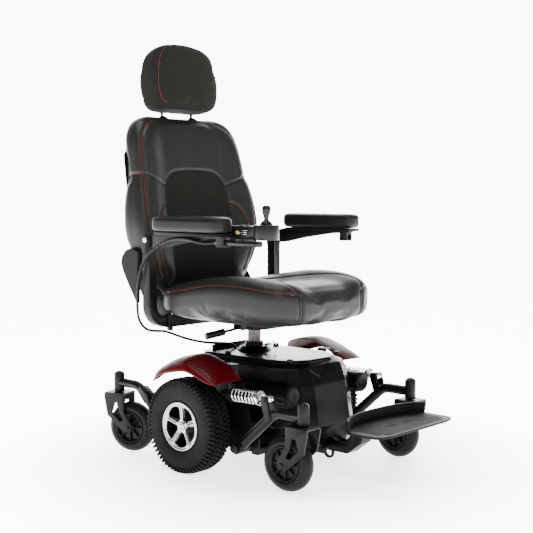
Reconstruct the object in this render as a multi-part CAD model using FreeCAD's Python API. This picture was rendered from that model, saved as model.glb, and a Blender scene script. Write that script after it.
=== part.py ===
import FreeCAD, Part
import math
import os

# Power wheelchair: captain's seat on a six-wheel base with centre drive wheels.
# Millimetres, +Z up, the user looks towards -Y, the user's right hand is at -X.
# Shapes are drawn about the drive axle line and moved by AXLE_Y when they are written,
# so that the origin lies on the floor under the middle of the whole chair.

V = FreeCAD.Vector

# ---------------------------------------------------------------- driving dimensions
AXLE_Y = 92.4            # drive axle, forward to back, in the written frame
AXLE_Z = 133.0           # drive axle height, which is the tyre's radius
TYRE_R = 133.0
TYRE_W = 76.0
RIM_R = 67.0
WHEEL_X = 287.0          # middle plane of each drive wheel
SHAFT_R = 8.5

CASTER_R = 75.0
CASTER_W = 44.0
CASTER_HUB_R = 47.0
KINGPIN_X = 242.0
KINGPIN_FRONT_Y = -377.0
KINGPIN_REAR_Y = 345.0
KINGPIN_R = 8.0
CASTER_TRAIL = 46.0
CASTER_AXLE_R = 5.0
# direction in which each fork trails, in degrees about +Z, 0 is straight back
SWIVEL = {"front_right": 4.0, "front_left": -4.0, "rear_right": -163.0, "rear_left": 170.0}

ARM_X = 242.0
ARM_TUBE_R = 14.0
FRONT_PIVOT = (-157.0, 88.0)      # y, z of the front arm's pivot bolt
FRONT_APEX = (-283.0, 190.0)
CLEVIS = (-255.0, 231.0)
REAR_PIVOT = (163.0, 112.0)
SHOCK_REAR = (-101.0, 228.0)
SHOCK_X = 242.0
PIN_R = 6.0

LID_Z = 310.0
POST_Y = 15.0
POST_R = 19.0
POST_TOP = 388.0

ARM_POST_X = 268.0
ARM_POST_Y = 176.0
ARM_HINGE_Z = 640.0
FOOT_Z = 401.0           # height of the arm posts' feet in the cross tube
BEND_R = 50.0            # middle line of their elbows
PAD_X = 281.0
PAD_TOP = 711.0
BACK_PIVOT = (236.0, 476.0)
BACK_LEAN = 10.0
HEADREST_POST_X = 62.0
POST_BACK = 14.0         # headrest posts behind the pivot line, before the back is leaned
FOOTPLATE_HINGE = (-392.0, 142.0)
CROSS_Y = (-175.0, 78.0)   # stubs that carry the side plates
TIE_R = 10.0             # strap eyes
TIE_FRONT_Y = -318.0
TIE_REAR_Y = 172.0
CABLE_R = 4.0
SLEEVE_R = 5.5

RUN = 0.05               # radial clearance of a shaft in its hole


# ---------------------------------------------------------------- plain solids
def box(x0, x1, y0, y1, z0, z1):
    return Part.makeBox(x1 - x0, y1 - y0, z1 - z0, V(x0, y0, z0))


def rod(start, end, radius):
    axis = V(*end) - V(*start)
    return Part.makeCylinder(radius, axis.Length, V(*start), axis)


def disc_x(x0, x1, y, z, radius):
    return rod((x0, y, z), (x1, y, z), radius)


def pillar(x, y, z0, z1, radius):
    return rod((x, y, z0), (x, y, z1), radius)


def plate_yz(points, x0, x1):
    """Plate with its outline in the YZ plane, from x0 to x1."""
    outline = [V(x0, y, z) for y, z in points]
    face = Part.Face(Part.makePolygon(outline + outline[:1]))
    return face.extrude(V(x1 - x0, 0, 0))


def plate_xy(points, z0, z1):
    outline = [V(x, y, z0) for x, y in points]
    face = Part.Face(Part.makePolygon(outline + outline[:1]))
    return face.extrude(V(0, 0, z1 - z0))


def section_xy(points, z):
    ring = [V(x, y, z) for x, y in points]
    return Part.makePolygon(ring + ring[:1])


def section_xz(points, y):
    ring = [V(x, y, z) for x, z in points]
    return Part.makePolygon(ring + ring[:1])


def mirrored(points):
    """Closed outline from its right half, given from the front middle to the rear middle."""
    other = [(-x, y) for x, y in reversed(points) if x > 0.01]
    return points + other


def fuse(shapes):
    whole = shapes[0]
    if len(shapes) > 1:
        whole = shapes[0].multiFuse(shapes[1:])
    return whole.removeSplitter()


def eased(shape, radius, pick):
    """Round the edges that pick chooses, or leave them sharp where that cannot be done."""
    edges = [edge for edge in shape.Edges if pick(edge)]
    if not edges:
        return shape
    try:
        result = shape.makeFillet(radius, edges)
    except Exception:
        return shape
    if result.isValid() and result.Volume > 0:
        return result
    return shape


def upright(edge):
    ends = [v.Point for v in edge.Vertexes]
    return len(ends) == 2 and abs(ends[0].z - ends[1].z) > 0.9 * (ends[0] - ends[1]).Length


def bent_path(points, radii=None):
    """Straight runs joined by tangent arcs, and the arcs' radii."""
    corners = [V(*p) for p in points]
    edges = []
    used = []
    start = corners[0]
    for i in range(1, len(corners) - 1):
        before = corners[i] - corners[i - 1]
        after = corners[i + 1] - corners[i]
        turn = before.getAngle(after)
        if radii is None:
            cut = 0.45 * min(before.Length, after.Length)
            radius = cut / math.tan(turn / 2)
        else:
            radius = radii[i - 1]
            cut = radius * math.tan(turn / 2)
        used.append(radius)
        before.normalize()
        after.normalize()
        arc_in = corners[i] - before * cut
        arc_out = corners[i] + after * cut
        inward = after - before
        inward.normalize()
        depth = radius * (1 / math.cos(turn / 2) - 1)
        middle = corners[i] + inward * depth
        edges.append(Part.LineSegment(start, arc_in).toShape())
        edges.append(Part.Arc(arc_in, middle, arc_out).toShape())
        start = arc_out
    edges.append(Part.LineSegment(start, corners[-1]).toShape())
    return Part.Wire(edges), used


def bent_rod(points, radius, radii=None):
    path, used = bent_path(points, radii)
    heading = V(*points[1]) - V(*points[0])
    ring = Part.Wire(Part.Circle(V(*points[0]), heading, radius).toShape())
    return path.makePipeShell([ring], True, True)


def cable(name, points, radius):
    path, used = bent_path(points)
    tube = bent_rod(points, radius)
    print(name, "length", round(path.Length, 1), "radii", [round(r, 1) for r in used])
    print(name, "volume over section by length",
          round(tube.Volume / (math.pi * radius ** 2 * path.Length), 4))
    return tube


def turned(shape, degrees, centre, axis=V(0, 0, 1)):
    copy = shape.copy()
    copy.rotate(V(*centre), axis, degrees)
    return copy


def write(name, shapes):
    """Write one node: a solid, or several solids that belong together."""
    if not isinstance(shapes, list):
        shapes = [shapes]
    solids = []
    for shape in shapes:
        solids.extend(shape.Solids)
    whole = solids[0] if len(solids) == 1 else Part.makeCompound(solids)
    whole = whole.copy()
    whole.translate(V(0, AXLE_Y, 0))
    print(name, "solids", len(solids), "valid", whole.isValid(), "volume", round(whole.Volume / 1000, 1))
    whole.exportStep("parts/" + name + ".step")


# ---------------------------------------------------------------- drive wheels
def drive_tyre(side):
    """Knobbly tyre: a rounded ring round the rim."""
    x = side * WHEEL_X
    half = TYRE_W / 2
    shoulder = 20.0
    profile = [V(x - half + 8, 0, RIM_R), V(x + half - 8, 0, RIM_R), V(x + half, 0, RIM_R + 22),
               V(x + half, 0, TYRE_R - shoulder), V(x + half - 12, 0, TYRE_R), V(x - half + 12, 0, TYRE_R),
               V(x - half, 0, TYRE_R - shoulder), V(x - half, 0, RIM_R + 22)]
    face = Part.Face(Part.makePolygon(profile + profile[:1]))
    ring = face.revolve(V(0, 0, 0), V(1, 0, 0), 360)
    ring.translate(V(0, 0, AXLE_Z))
    return ring


def drive_rim(side):
    """Cast rim: barrel, hub and five spokes with a slot down the middle of each."""
    x = side * WHEEL_X
    outer = x + side * 24
    barrel = disc_x(x - 30, x + 30, 0, AXLE_Z, RIM_R).cut(disc_x(x - 31, x + 31, 0, AXLE_Z, RIM_R - 6))
    hub = disc_x(x - side * 22, outer + side * 6, 0, AXLE_Z, 21)
    spokes = []
    for i in range(5):
        spoke = plate_yz([(-13, AXLE_Z + 14), (13, AXLE_Z + 14), (9, AXLE_Z + RIM_R - 3),
                          (-9, AXLE_Z + RIM_R - 3)], outer - side * 10, outer)
        slot = plate_yz([(-4, AXLE_Z + 26), (4, AXLE_Z + 26), (3, AXLE_Z + 52), (-3, AXLE_Z + 52)],
                        outer - side * 4, outer + side)
        spokes.append(turned(spoke.cut(slot), 72 * i, (x, 0, AXLE_Z), V(1, 0, 0)))
    rim = fuse([barrel, hub] + spokes)
    bore = disc_x(x - side * 40, outer, 0, AXLE_Z, SHAFT_R + RUN)
    return rim.cut(bore)


def drive_motor(side):
    """Gear motor across the base with its output shaft in the wheel's hub."""
    motor = disc_x(side * 78, side * 170, 0, AXLE_Z, 38)
    neck = disc_x(side * 168, side * 202, 0, AXLE_Z, 32)
    gearbox = disc_x(side * 201, side * 240, 0, AXLE_Z, 46)
    shaft = disc_x(side * 240, side * (WHEEL_X + 22), 0, AXLE_Z, SHAFT_R)
    return fuse([motor, neck, gearbox, shaft])


# ---------------------------------------------------------------- casters
def caster_fork(side, kingpin_y, angle):
    """Folded fork with slotted legs, its stem up the barrel and the wheel's axle across."""
    x = side * KINGPIN_X
    hub_y = kingpin_y + CASTER_TRAIL
    inner = CASTER_W / 2 + 4
    outer = inner + 6
    crown = box(x - outer, x + outer, kingpin_y - 34, kingpin_y + 34, 159, 177)
    crown = crown.cut(box(x - inner, x + inner, kingpin_y - 35, kingpin_y + 35, 150, 171))
    leg_outline = [(kingpin_y - 34, 162), (kingpin_y - 24, 110), (hub_y - 32, 76), (hub_y - 12, 61),
                   (hub_y + 12, 64), (hub_y + 15, 84), (kingpin_y + 34, 120), (kingpin_y + 34, 162)]
    slot_outline = [(kingpin_y + 2, 148), (kingpin_y - 8, 118), (hub_y - 26, 92), (hub_y - 14, 96),
                    (kingpin_y + 18, 124), (kingpin_y + 14, 148)]
    legs = []
    for hand in (-1, 1):
        leg = plate_yz(leg_outline, x + hand * inner, x + hand * outer)
        legs.append(leg.cut(plate_yz(slot_outline, x + hand * inner, x + hand * outer)))
    stem = pillar(x, kingpin_y, 172, 226, KINGPIN_R)
    axle = disc_x(x - outer - 4, x + outer + 4, hub_y, CASTER_R, CASTER_AXLE_R)
    fork = fuse([crown] + legs + [stem, axle])
    return turned(fork, angle, (x, kingpin_y, 0))


def caster_tyre(side, kingpin_y, angle):
    """Solid grey-black tyre with a rounded tread."""
    x = side * KINGPIN_X
    hub_y = kingpin_y + CASTER_TRAIL
    half = CASTER_W / 2
    start = V(x - half, 0, CASTER_HUB_R)
    shoulder_in = V(x - half, 0, CASTER_R - 14)
    shoulder_out = V(x + half, 0, CASTER_R - 14)
    tread = Part.Arc(shoulder_in, V(x, 0, CASTER_R), shoulder_out).toShape()
    sides = [Part.makeLine(start, shoulder_in), tread, Part.makeLine(shoulder_out, V(x + half, 0,
        CASTER_HUB_R)),
             Part.makeLine(V(x + half, 0, CASTER_HUB_R), start)]
    ring = Part.Face(Part.Wire(sides)).revolve(V(0, 0, 0), V(1, 0, 0), 360)
    ring.translate(V(0, hub_y, CASTER_R))
    return turned(ring, angle, (x, kingpin_y, 0))


def caster_hub(side, kingpin_y, angle):
    """Moulded hub with ribs between the rim and the bearing boss."""
    x = side * KINGPIN_X
    hub_y = kingpin_y + CASTER_TRAIL
    barrel = disc_x(x - 17, x + 17, hub_y, CASTER_R, CASTER_HUB_R)
    barrel = barrel.cut(disc_x(x - 18, x + 18, hub_y, CASTER_R, CASTER_HUB_R - 5))
    web = disc_x(x - 3, x + 3, hub_y, CASTER_R, CASTER_HUB_R - 4)
    boss = disc_x(x - 23, x + 23, hub_y, CASTER_R, 13)
    ribs = []
    for i in range(8):
        rib = box(x - 14, x + 14, hub_y - 2, hub_y + 2, CASTER_R + 8, CASTER_R + CASTER_HUB_R - 4)
        ribs.append(turned(rib, 45 * i, (x, hub_y, CASTER_R), V(1, 0, 0)))
    hub = fuse([barrel, web, boss] + ribs)
    hub = hub.cut(disc_x(x - 30, x + 30, hub_y, CASTER_R, CASTER_AXLE_R + RUN))
    return turned(hub, angle, (x, kingpin_y, 0))


# ---------------------------------------------------------------- suspension
def barrel_tube(x, y):
    """Kingpin housing with its domed cap."""
    tube = pillar(x, y, 179, 233, 16)
    cap = Part.makeSphere(19.0, V(x, y, 221), V(0, 0, 1), 0, 90, 360)
    cap = cap.common(pillar(x, y, 221, 245, 16))
    return fuse([tube, cap]).cut(pillar(x, y, 178, 228, KINGPIN_R + RUN))


def front_arm(side):
    """Welded arm: pivot boss, straight tube to the apex, clevis ears, curved tube to the barrel."""
    x = side * ARM_X
    pivot_y, pivot_z = FRONT_PIVOT
    apex_y, apex_z = FRONT_APEX
    clevis_y, clevis_z = CLEVIS
    boss = disc_x(x - 20, x + 20, pivot_y, pivot_z, 17)
    tube = bent_rod([(x, pivot_y - 6, pivot_z + 6), (x, apex_y, apex_z + 10), (x, KINGPIN_FRONT_Y + 6,
        200)],
                    ARM_TUBE_R, [52])
    ears = []
    for hand in (-1, 1):
        near = x + hand * 11
        far = x + hand * 17
        ears.append(plate_yz([(apex_y + 4, apex_z - 6), (apex_y + 22, apex_z - 14), (clevis_y + 12,
            clevis_z - 2),
                              (clevis_y + 8, clevis_z + 10), (clevis_y - 8, clevis_z + 10),
                              (clevis_y - 12, clevis_z - 4)], near, far))
    pin = disc_x(x - 19, x + 19, clevis_y, clevis_z, PIN_R)
    barrel = barrel_tube(x, KINGPIN_FRONT_Y)
    arm = fuse([boss, tube] + ears + [pin, barrel])
    arm = arm.cut(disc_x(x - 40, x + 40, pivot_y, pivot_z, PIN_R + 2 + RUN))
    return arm.cut(pillar(x, KINGPIN_FRONT_Y, 170, 228, KINGPIN_R + RUN))


def rear_arm(side):
    """Curved tube from the pivot behind the drive wheel up and back to the rear barrel."""
    x = side * ARM_X
    pivot_y, pivot_z = REAR_PIVOT
    boss = disc_x(x - 20, x + 20, pivot_y, pivot_z, 17)
    tube = bent_rod([(x, pivot_y + 4, pivot_z + 6), (x, 250, 206), (x, KINGPIN_REAR_Y - 6, 206)],
                    ARM_TUBE_R - 1, [70])
    gusset = plate_yz([(195, 165), (205, 186), (236, 206), (250, 196), (215, 160)], x - 16, x + 16)
    arm = fuse([boss, tube, gusset, barrel_tube(x, KINGPIN_REAR_Y)])
    arm = arm.cut(disc_x(x - 40, x + 40, pivot_y, pivot_z, PIN_R + 2 + RUN))
    return arm.cut(pillar(x, KINGPIN_REAR_Y, 170, 228, KINGPIN_R + RUN))


def shock_line():
    """Unit direction from the rear eye to the front eye, and the distance between them."""
    rear = V(0, *SHOCK_REAR)
    front = V(0, *CLEVIS)
    along = front - rear
    length = along.Length
    along.normalize()
    return along, length


def shock_point(side, distance):
    along, length = shock_line()
    return V(side * SHOCK_X, *SHOCK_REAR) + along * distance


def along_shock(side, start, end, radius):
    along, length = shock_line()
    return Part.makeCylinder(radius, end - start, shock_point(side, start), along)


def shock_body(side):
    """Rear eye, lower spring seat and damper tube."""
    x = side * SHOCK_X
    eye = disc_x(x - 9, x + 9, SHOCK_REAR[0], SHOCK_REAR[1], 12)
    neck = along_shock(side, 6, 26, 8)
    seat = along_shock(side, 24, 30, 20)
    tube = along_shock(side, 30, 84, 11)
    body = fuse([eye, neck, seat, tube])
    body = body.cut(along_shock(side, 40, 90, 6.3))
    return body.cut(disc_x(x - 20, x + 20, SHOCK_REAR[0], SHOCK_REAR[1], PIN_R + RUN))


def shock_rod(side):
    """Piston rod, upper spring cap and front eye, which is loose on the arm's pin."""
    along, length = shock_line()
    x = side * SHOCK_X
    eye = disc_x(x - 9, x + 9, CLEVIS[0], CLEVIS[1], 12)
    neck = along_shock(side, 128, length - 8, 7)
    cap = along_shock(side, 122, 131, 20)
    piston = along_shock(side, 72, 124, 6)
    body = fuse([eye, neck, cap, piston])
    return body.cut(disc_x(x - 20, x + 20, CLEVIS[0], CLEVIS[1], PIN_R + 1.2))


def shock_spring(side):
    """Coil spring as its envelope: a sleeve between the two seats."""
    outer = along_shock(side, 30.0, 122.0, 19)
    return outer.cut(along_shock(side, 29, 123, 13))


# ---------------------------------------------------------------- base
def tie_down(x, y0, y1):
    """Strap eye: an upright plate with a hole across the chair."""
    low = min(y0, y1)
    eye = box(x - 3, x + 3, low, low + abs(y1 - y0), 60, 76)
    ring = disc_x(x - 3, x + 3, y1, 68, 17)
    return fuse([eye, ring]).cut(disc_x(x - 5, x + 5, y1, 68, TIE_R))


def main_frame():
    """Welded chassis: rails with a tray between, side plates, strap eyes and the post's socket."""
    pieces = [box(-108.5, 108.5, -180, 104, 56, 60)]
    for hand in (-1, 1):
        low = min(hand * 108, hand * 132)
        pieces.append(box(low, low + 24, -180, 104, 56, 78))
        low = min(hand * 190, hand * 198)
        side_plate = plate_yz([(-182, 66), (-182, 104), (-150, 150), (-125, 246), (-70, 246), (-60, 190),
                               (60, 190), (140, 150), (186, 134), (186, 90), (120, 66)], low, low + 8)
        pieces.append(side_plate.cut(disc_x(hand * 180, hand * 205, 0, AXLE_Z, 32.4)))
        for y in CROSS_Y:
            low = min(hand * 130, hand * 192)
            pieces.append(box(low, low + 62, y, y + 24, 58, 76))
        pieces.append(tie_down(hand * 60, -170, TIE_FRONT_Y))
        pieces.append(tie_down(hand * 70, 100, TIE_REAR_Y))
    for y in (-180, 80):
        pieces.append(box(-109, 109, y, y + 24, 56, 78))
    socket = pillar(0, POST_Y, 58, 316, 27)
    flange = Part.makeCone(52, 40, 12, V(0, POST_Y, LID_Z + 0.6), V(0, 0, 1))
    collar = pillar(0, POST_Y, 316, 336, 27)
    frame = fuse(pieces + [socket, flange, collar])
    return frame.cut(pillar(0, POST_Y, 90, 340, POST_R + RUN))


def body_outline(side, front, rear=0.0):
    """Plan outline of the base, its edges moved in by side, front and rear and kept parallel."""
    half = [(0, -296), (72, -289), (106, -274), (132, -246), (147, -204), (147, 118), (121, 146), (0, 146)]
    corners = [(x, y) for x, y in mirrored(half) if abs(x) > 0.01]
    count = len(corners)
    lines = []
    for i in range(count):
        (x0, y0), (x1, y1) = corners[i], corners[(i + 1) % count]
        length = math.hypot(x1 - x0, y1 - y0)
        nx, ny = (y1 - y0) / length, -(x1 - x0) / length
        inset = side * abs(nx) + (front if ny < 0 else rear) * abs(ny)
        lines.append((nx, ny, nx * x0 + ny * y0 - inset))
    moved = []
    for i in range(count):
        (ax, ay, a), (bx, by, b) = lines[i - 1], lines[i]
        scale = ax * by - ay * bx
        moved.append(((a * by - ay * b) / scale, (ax * b - a * bx) / scale))
    return moved


def hull(levels):
    """Solid through plan outlines, each with its height."""
    wires = [section_xy(outline, z) for z, outline in levels]
    return Part.makeLoft(wires, True, True)


def wall_openings(low_z, high_z):
    """Clearance for what passes through the moulded walls: motors, stubs, eyes and the front bracket."""
    cuts = []
    for hand in (-1, 1):
        cuts.append(disc_x(hand * 100, hand * 188, 0, AXLE_Z, 39.5))
        for y in CROSS_Y:
            low = min(hand * 110, hand * 192)
            cuts.append(box(low, low + 82, y - 1, y + 25, 57, 77))
        cuts.append(box(hand * 60 - 4, hand * 60 + 4, TIE_FRONT_Y, -170, 59, 77))
        cuts.append(box(hand * 70 - 4, hand * 70 + 4, 100, TIE_REAR_Y, 59, 77))
    cuts.append(box(-23, 23, -345, -170, 57.5, 80))
    return cuts


def belly_pan():
    """Moulded lower tub, open at the top."""
    outer = hull([(47, body_outline(14, 44, 14)), (62, body_outline(2, 18, 2)), (128, body_outline(0, 0))])
    inner = hull([(50, body_outline(16, 46, 16)), (63, body_outline(5, 21, 5)), (130, body_outline(3,
        3, 3))])
    pan = outer.cut(inner)
    for opening in wall_openings(47, 128):
        pan = pan.cut(opening)
    return pan


def top_cover():
    """Moulded hood: shoulder under the lid, rounded cheeks along the sides, ridge behind the post."""
    outer = hull([(128.2, body_outline(0, 0)), (246, body_outline(2, 18, 4)),
                  (292, body_outline(4, 34, 8)), (LID_Z, body_outline(26, 54, 16))])
    inner = hull([(127, body_outline(3, 3, 3)), (246, body_outline(5, 21, 7)),
                  (291, body_outline(7, 37, 11)), (LID_Z - 3, body_outline(28, 56, 18))])
    cheeks = []
    for hand in (-1, 1):
        cheeks.append(rod((hand * 158, -268, 225), (hand * 158, -132, 225), 27))
    ridge = plate_yz([(86, LID_Z - 2), (112, LID_Z - 2), (116, LID_Z + 11), (108, LID_Z + 13)], -76, 76)
    cover = fuse([outer, ridge] + cheeks).cut(inner)
    for hand in (-1, 1):
        cover = cover.cut(disc_x(hand * 100, hand * 188, 0, AXLE_Z, 39.5))
    cover = cover.cut(pillar(0, POST_Y, 280, 330, 28))
    return cover.cut(pillar(DROP_CABLE[-1][0] - 3, DROP_CABLE[-1][1] + 2, 290, 330, 9))


def fender(side):
    """Painted mudguard: a bowed strip over the drive wheel, high at the front."""
    outline = [(122, 246), (98, 284), (50, 311), (15, 323), (-25, 330), (-62, 325), (-95, 312),
               (-122, 295), (-146, 266)]
    under = [(y * 0.985, z - 4) for y, z in reversed(outline[1:-1])]
    top = plate_yz(outline + under, side * 204, side * 312)
    lip_line = [(122, 246), (92, 262), (45, 278), (5, 287), (-25, 292), (-58, 286), (-88, 276),
                (-112, 268), (-146, 264)]
    lip = plate_yz(lip_line + outline[-2:0:-1], side * 312, side * 316)
    foot = box(min(side * 190, side * 198), max(side * 190, side * 198), -104, -72, 246.3, 300)
    shelf = plate_yz([(-104, 292), (-72, 309), (-72, 318), (-104, 304)], side * 190, side * 212)
    return fuse([top, lip, foot, shelf])


def battery(side):
    case = box(min(side * 2, side * 120), max(side * 2, side * 120), -218, -50, 80, 236)
    terminals = []
    for y in (-202, -68):
        terminals.append(pillar(side * 100, y, 236, 246, 7))
    return fuse([case] + terminals)


def power_module():
    """Motor controller in its finned case behind the seat post."""
    case = box(-80, 80, 88, 100, 150, 250)
    fins = [box(x, x + 4, 99, 118, 154, 246) for x in range(-76, 77, 16)]
    return fuse([case] + fins)


def lid_knobs():
    """Round screw knobs that hold the lid down."""
    knobs = []
    for x, y in ((-105, 22), (105, 22), (-105, -215), (105, -215)):
        knob = pillar(x, y, LID_Z + 0.0, LID_Z + 7, 9)
        knobs.append(knob)
    return knobs


def pivot_bolts():
    """Shoulder bolts of the four arms and the two shocks, headed on the outside."""
    bolts = []
    for side in (-1, 1):
        for y, z in (FRONT_PIVOT, REAR_PIVOT):
            shank = disc_x(side * 198, side * 266, y, z, PIN_R + 2)
            head = disc_x(side * 263, side * 272, y, z, 12)
            bolts.append(fuse([shank, head]))
        y, z = SHOCK_REAR
        shank = disc_x(side * 198, side * 254, y, z, PIN_R)
        head = disc_x(side * 252, side * 256, y, z, 8)
        bolts.append(fuse([shank, head]))
    return bolts


def footplate_bracket():
    """Forked bracket in front of the base that carries the footplate's hinge."""
    hinge_y, hinge_z = FOOTPLATE_HINGE
    bar = box(-22, 22, -350, -180.2, 60.2, 79)
    riser = plate_yz([(-350, 60.2), (-338, 79), (hinge_y + 16, hinge_z), (hinge_y, hinge_z + 12),
                      (hinge_y - 14, hinge_z), (hinge_y - 6, 96)], -22, 22)
    pin = disc_x(-52, 52, hinge_y, hinge_z, 5)
    return fuse([bar, riser, pin])


def footplate():
    """One-piece tread plate with a raised heel lip, on two hinge ears."""
    hinge_y, hinge_z = FOOTPLATE_HINGE
    outline = [(0, -575), (120, -575), (158, -568), (172, -556), (176, -470), (150, -446), (110, -430),
               (60, -422), (0, -420)]
    plate = plate_xy(mirrored(outline), 157, 163)
    lip_plan = [(176, -470), (150, -446), (110, -430), (60, -422), (0, -420),
                (0, -426), (60, -428), (108, -436), (147, -451), (171, -474)]
    lip = plate_xy(lip_plan, 157, 192)
    other = lip.mirror(V(0, 0, 0), V(1, 0, 0))
    ears = []
    for hand in (-1, 1):
        near = min(hand * 30, hand * 42)
        ear = plate_yz([(hinge_y + 9, hinge_z - 6), (hinge_y + 9, hinge_z + 10), (hinge_y - 6,
            hinge_z + 18),
                        (-470, 158), (-470, 148), (hinge_y - 8, hinge_z - 9)], near, near + 12)
        ears.append(ear)
    whole = fuse([plate, lip, other] + ears)
    slots = [box(x, x + 34, -508, -500, 150, 170) for x in (-52, 18)]
    whole = whole.cut(fuse(slots[:1])).cut(slots[1])
    return whole.cut(disc_x(-60, 60, hinge_y, hinge_z, 5 + RUN))


# ---------------------------------------------------------------- seat
def seat_post():
    """Grey swivel column in the base's socket, with the seat's turntable on top."""
    return pillar(0, POST_Y, 92, POST_TOP, POST_R)


def seat_frame():
    """Turntable plate, seat pan rails and the cross tubes that take the arm posts."""
    table = pillar(0, POST_Y, 376, 392, 62).cut(pillar(0, POST_Y, 370, POST_TOP + 0.6, POST_R + 0.4))
    pan = box(-150, 150, -190, 154, 404, 412)
    lift = box(-70, 70, -60, 90, 391, 405)
    tongue = box(-60, 60, 150, 160, 400, 412)
    cross = box(-216, 216, ARM_POST_Y - 20, ARM_POST_Y + 20, 384, 418)
    cross = cross.cut(box(-217, 217, ARM_POST_Y - 15.2, ARM_POST_Y + 15.2, 385.8, 416.2))
    brackets = []
    for hand in (-1, 1):
        low = min(hand * 208, hand * 214)
        plate = plate_yz([(150, 417), (150, 446), (204, 494), (248, 500), (258, 476), (244, 444), (210,
            417)],
                         low, low + 6)
        brackets.append(plate)
        brackets.append(box(min(hand * 148, hand * 212), max(hand * 148, hand * 212), 155, 196, 416.4, 421))
        brackets.append(disc_x(hand * 205, hand * 222, BACK_PIVOT[0], BACK_PIVOT[1], 8))
    clamp_knobs = [pillar(hand * 190, ARM_POST_Y, 372, 386, 9) for hand in (-1, 1)]
    ears = [box(-86, -58, y, y + 4, 377, 392) for y in (-14, 14)]
    lever_pin = rod((-77, -14, 384), (-77, 18, 384), 3)
    return fuse([table, pan, lift, tongue, cross, lever_pin] + ears + brackets + clamp_knobs)


def seat_cushion():
    """Thick moulded cushion: high sides, a dip in the middle and a rolled front."""
    def ring(y, half, low, side_top, mid_top):
        half_points = [(0, low), (half * 0.8, low), (half, low + 22), (half, side_top - 26),
            (half * 0.9, side_top),
                       (half * 0.66, side_top - 2), (half * 0.34, mid_top), (0, mid_top)]
        other = [(-x, z) for x, z in reversed(half_points) if x > 0.01]
        return section_xz(half_points + other, y)
    rings = [ring(-281, 118, 446, 496, 490), ring(-269, 170, 434, 514, 502), ring(-236, 214, 425, 534, 516),
             ring(-168, 236, 421.5, 546, 520), ring(-48, 240, 421.5, 548, 508), ring(72, 240, 421.5,
             530, 496),
             ring(132, 236, 421.5, 516, 490), ring(190, 198, 424, 500, 484)]
    cushion = Part.makeLoft(rings, True, True)
    for hand in (-1, 1):
        low = min(hand * 200, hand * 260)
        cushion = cushion.cut(box(low, low + 60, 134, 210, 400, 560))
    return cushion


def swivel_lever():
    """Release lever under the seat's right side."""
    arm = rod((-82, 5, 382), (-132, 30, 371), 4)
    grip = rod((-118, 24.5, 373.6), (-172, 45.6, 363.7), 10)
    eye = rod((-77, -9, 384), (-77, 13, 384), 6)
    return fuse([arm, grip, eye]).cut(rod((-77, -12, 384), (-77, 16, 384), 3 + RUN))


def armrest_post(side):
    """Bent square-section tube from the cross tube up to the arm hinge."""
    x = side * ARM_POST_X
    bend_x = x - side * BEND_R
    low, high = ARM_POST_Y - 15, ARM_POST_Y + 15
    foot = box(min(side * 120, bend_x), max(side * 120, bend_x), low, high, FOOT_Z - 14, FOOT_Z + 14)
    upright_tube = box(x - 14, x + 14, low, high, FOOT_Z + BEND_R, ARM_HINGE_Z - 24)
    centre = V(bend_x, low, FOOT_Z + BEND_R)
    elbow = Part.makeCylinder(BEND_R + 14, 30, centre, V(0, 1, 0))
    elbow = elbow.cut(Part.makeCylinder(BEND_R - 14, 30, centre, V(0, 1, 0)))
    corner = box(min(bend_x, x + side * 14), max(bend_x, x + side * 14), low, high, FOOT_Z - 14,
        FOOT_Z + BEND_R)
    tube = fuse([foot, upright_tube, elbow.common(corner)])
    clevis = []
    for hand in (-1, 1):
        near = x + hand * 10
        clevis.append(plate_yz([(ARM_POST_Y - 16, ARM_HINGE_Z - 34), (ARM_POST_Y - 16, ARM_HINGE_Z + 10),
                                (ARM_POST_Y - 6, ARM_HINGE_Z + 16), (ARM_POST_Y + 8, ARM_HINGE_Z + 16),
                                (ARM_POST_Y + 18, ARM_HINGE_Z + 8), (ARM_POST_Y + 18, ARM_HINGE_Z - 34)],
                               near, near + hand * 4))
    pin = disc_x(x - 16, x + 16, ARM_POST_Y, ARM_HINGE_Z, 5)
    return fuse([tube] + clevis + [pin])


def armrest_bar(side):
    """Tapered carrier under the pad, with the hinge boss at its rear end."""
    x = side * ARM_POST_X
    boss = disc_x(x - 9.5, x + 9.5, ARM_POST_Y, ARM_HINGE_Z, 14)
    beam = plate_yz([(ARM_POST_Y, ARM_HINGE_Z - 10), (ARM_POST_Y, ARM_HINGE_Z + 12), (120, 662), (-140,
        664),
                     (-140, 654), (-60, 649), (40, 634), (120, 618), (150, 616)], x - 9.5, x + 9.5)
    tray = box(min(side * 254, side * 306), max(side * 254, side * 306), -140, 116, 657, 665)
    clamp = box(x - 13, x + 13, -132, -104, 629, 658)
    bar = fuse([boss, beam, tray, clamp]).cut(rod((x, -140, BAR_Z), (x, -80, BAR_Z), BAR_R + RUN))
    return bar.cut(disc_x(x - 20, x + 20, ARM_POST_Y, ARM_HINGE_Z, 5 + RUN))


def armrest_pad(side):
    """Padded rest, rounded in plan at both ends."""
    half = 33.0
    middle = box(side * PAD_X - half, side * PAD_X + half, -114, 98, 665.3, PAD_TOP)
    front = pillar(side * PAD_X, -114, 665.3, PAD_TOP, half)
    rear = pillar(side * PAD_X, 98, 665.3, PAD_TOP, half)
    pad = fuse([middle, front, rear])
    return eased(pad, 9, lambda e: e.BoundBox.ZMin > PAD_TOP - 1)


# ---------------------------------------------------------------- backrest, drawn upright and leaned back
def leaned(shape):
    return turned(shape, -BACK_LEAN, (0,) + BACK_PIVOT, V(1, 0, 0))


def back_ring(z, half, front, rear, wing):
    """Plan outline of the back at one height: wings reach forward of the middle."""
    points = [(0, front), (half * 0.5, front), (half * 0.78, front - wing * 0.8), (half * 0.94,
        front - wing),
              (half, front - wing * 0.6), (half, rear - 24), (half * 0.86, rear), (0, rear)]
    return section_xy(mirrored(points), z)


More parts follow.
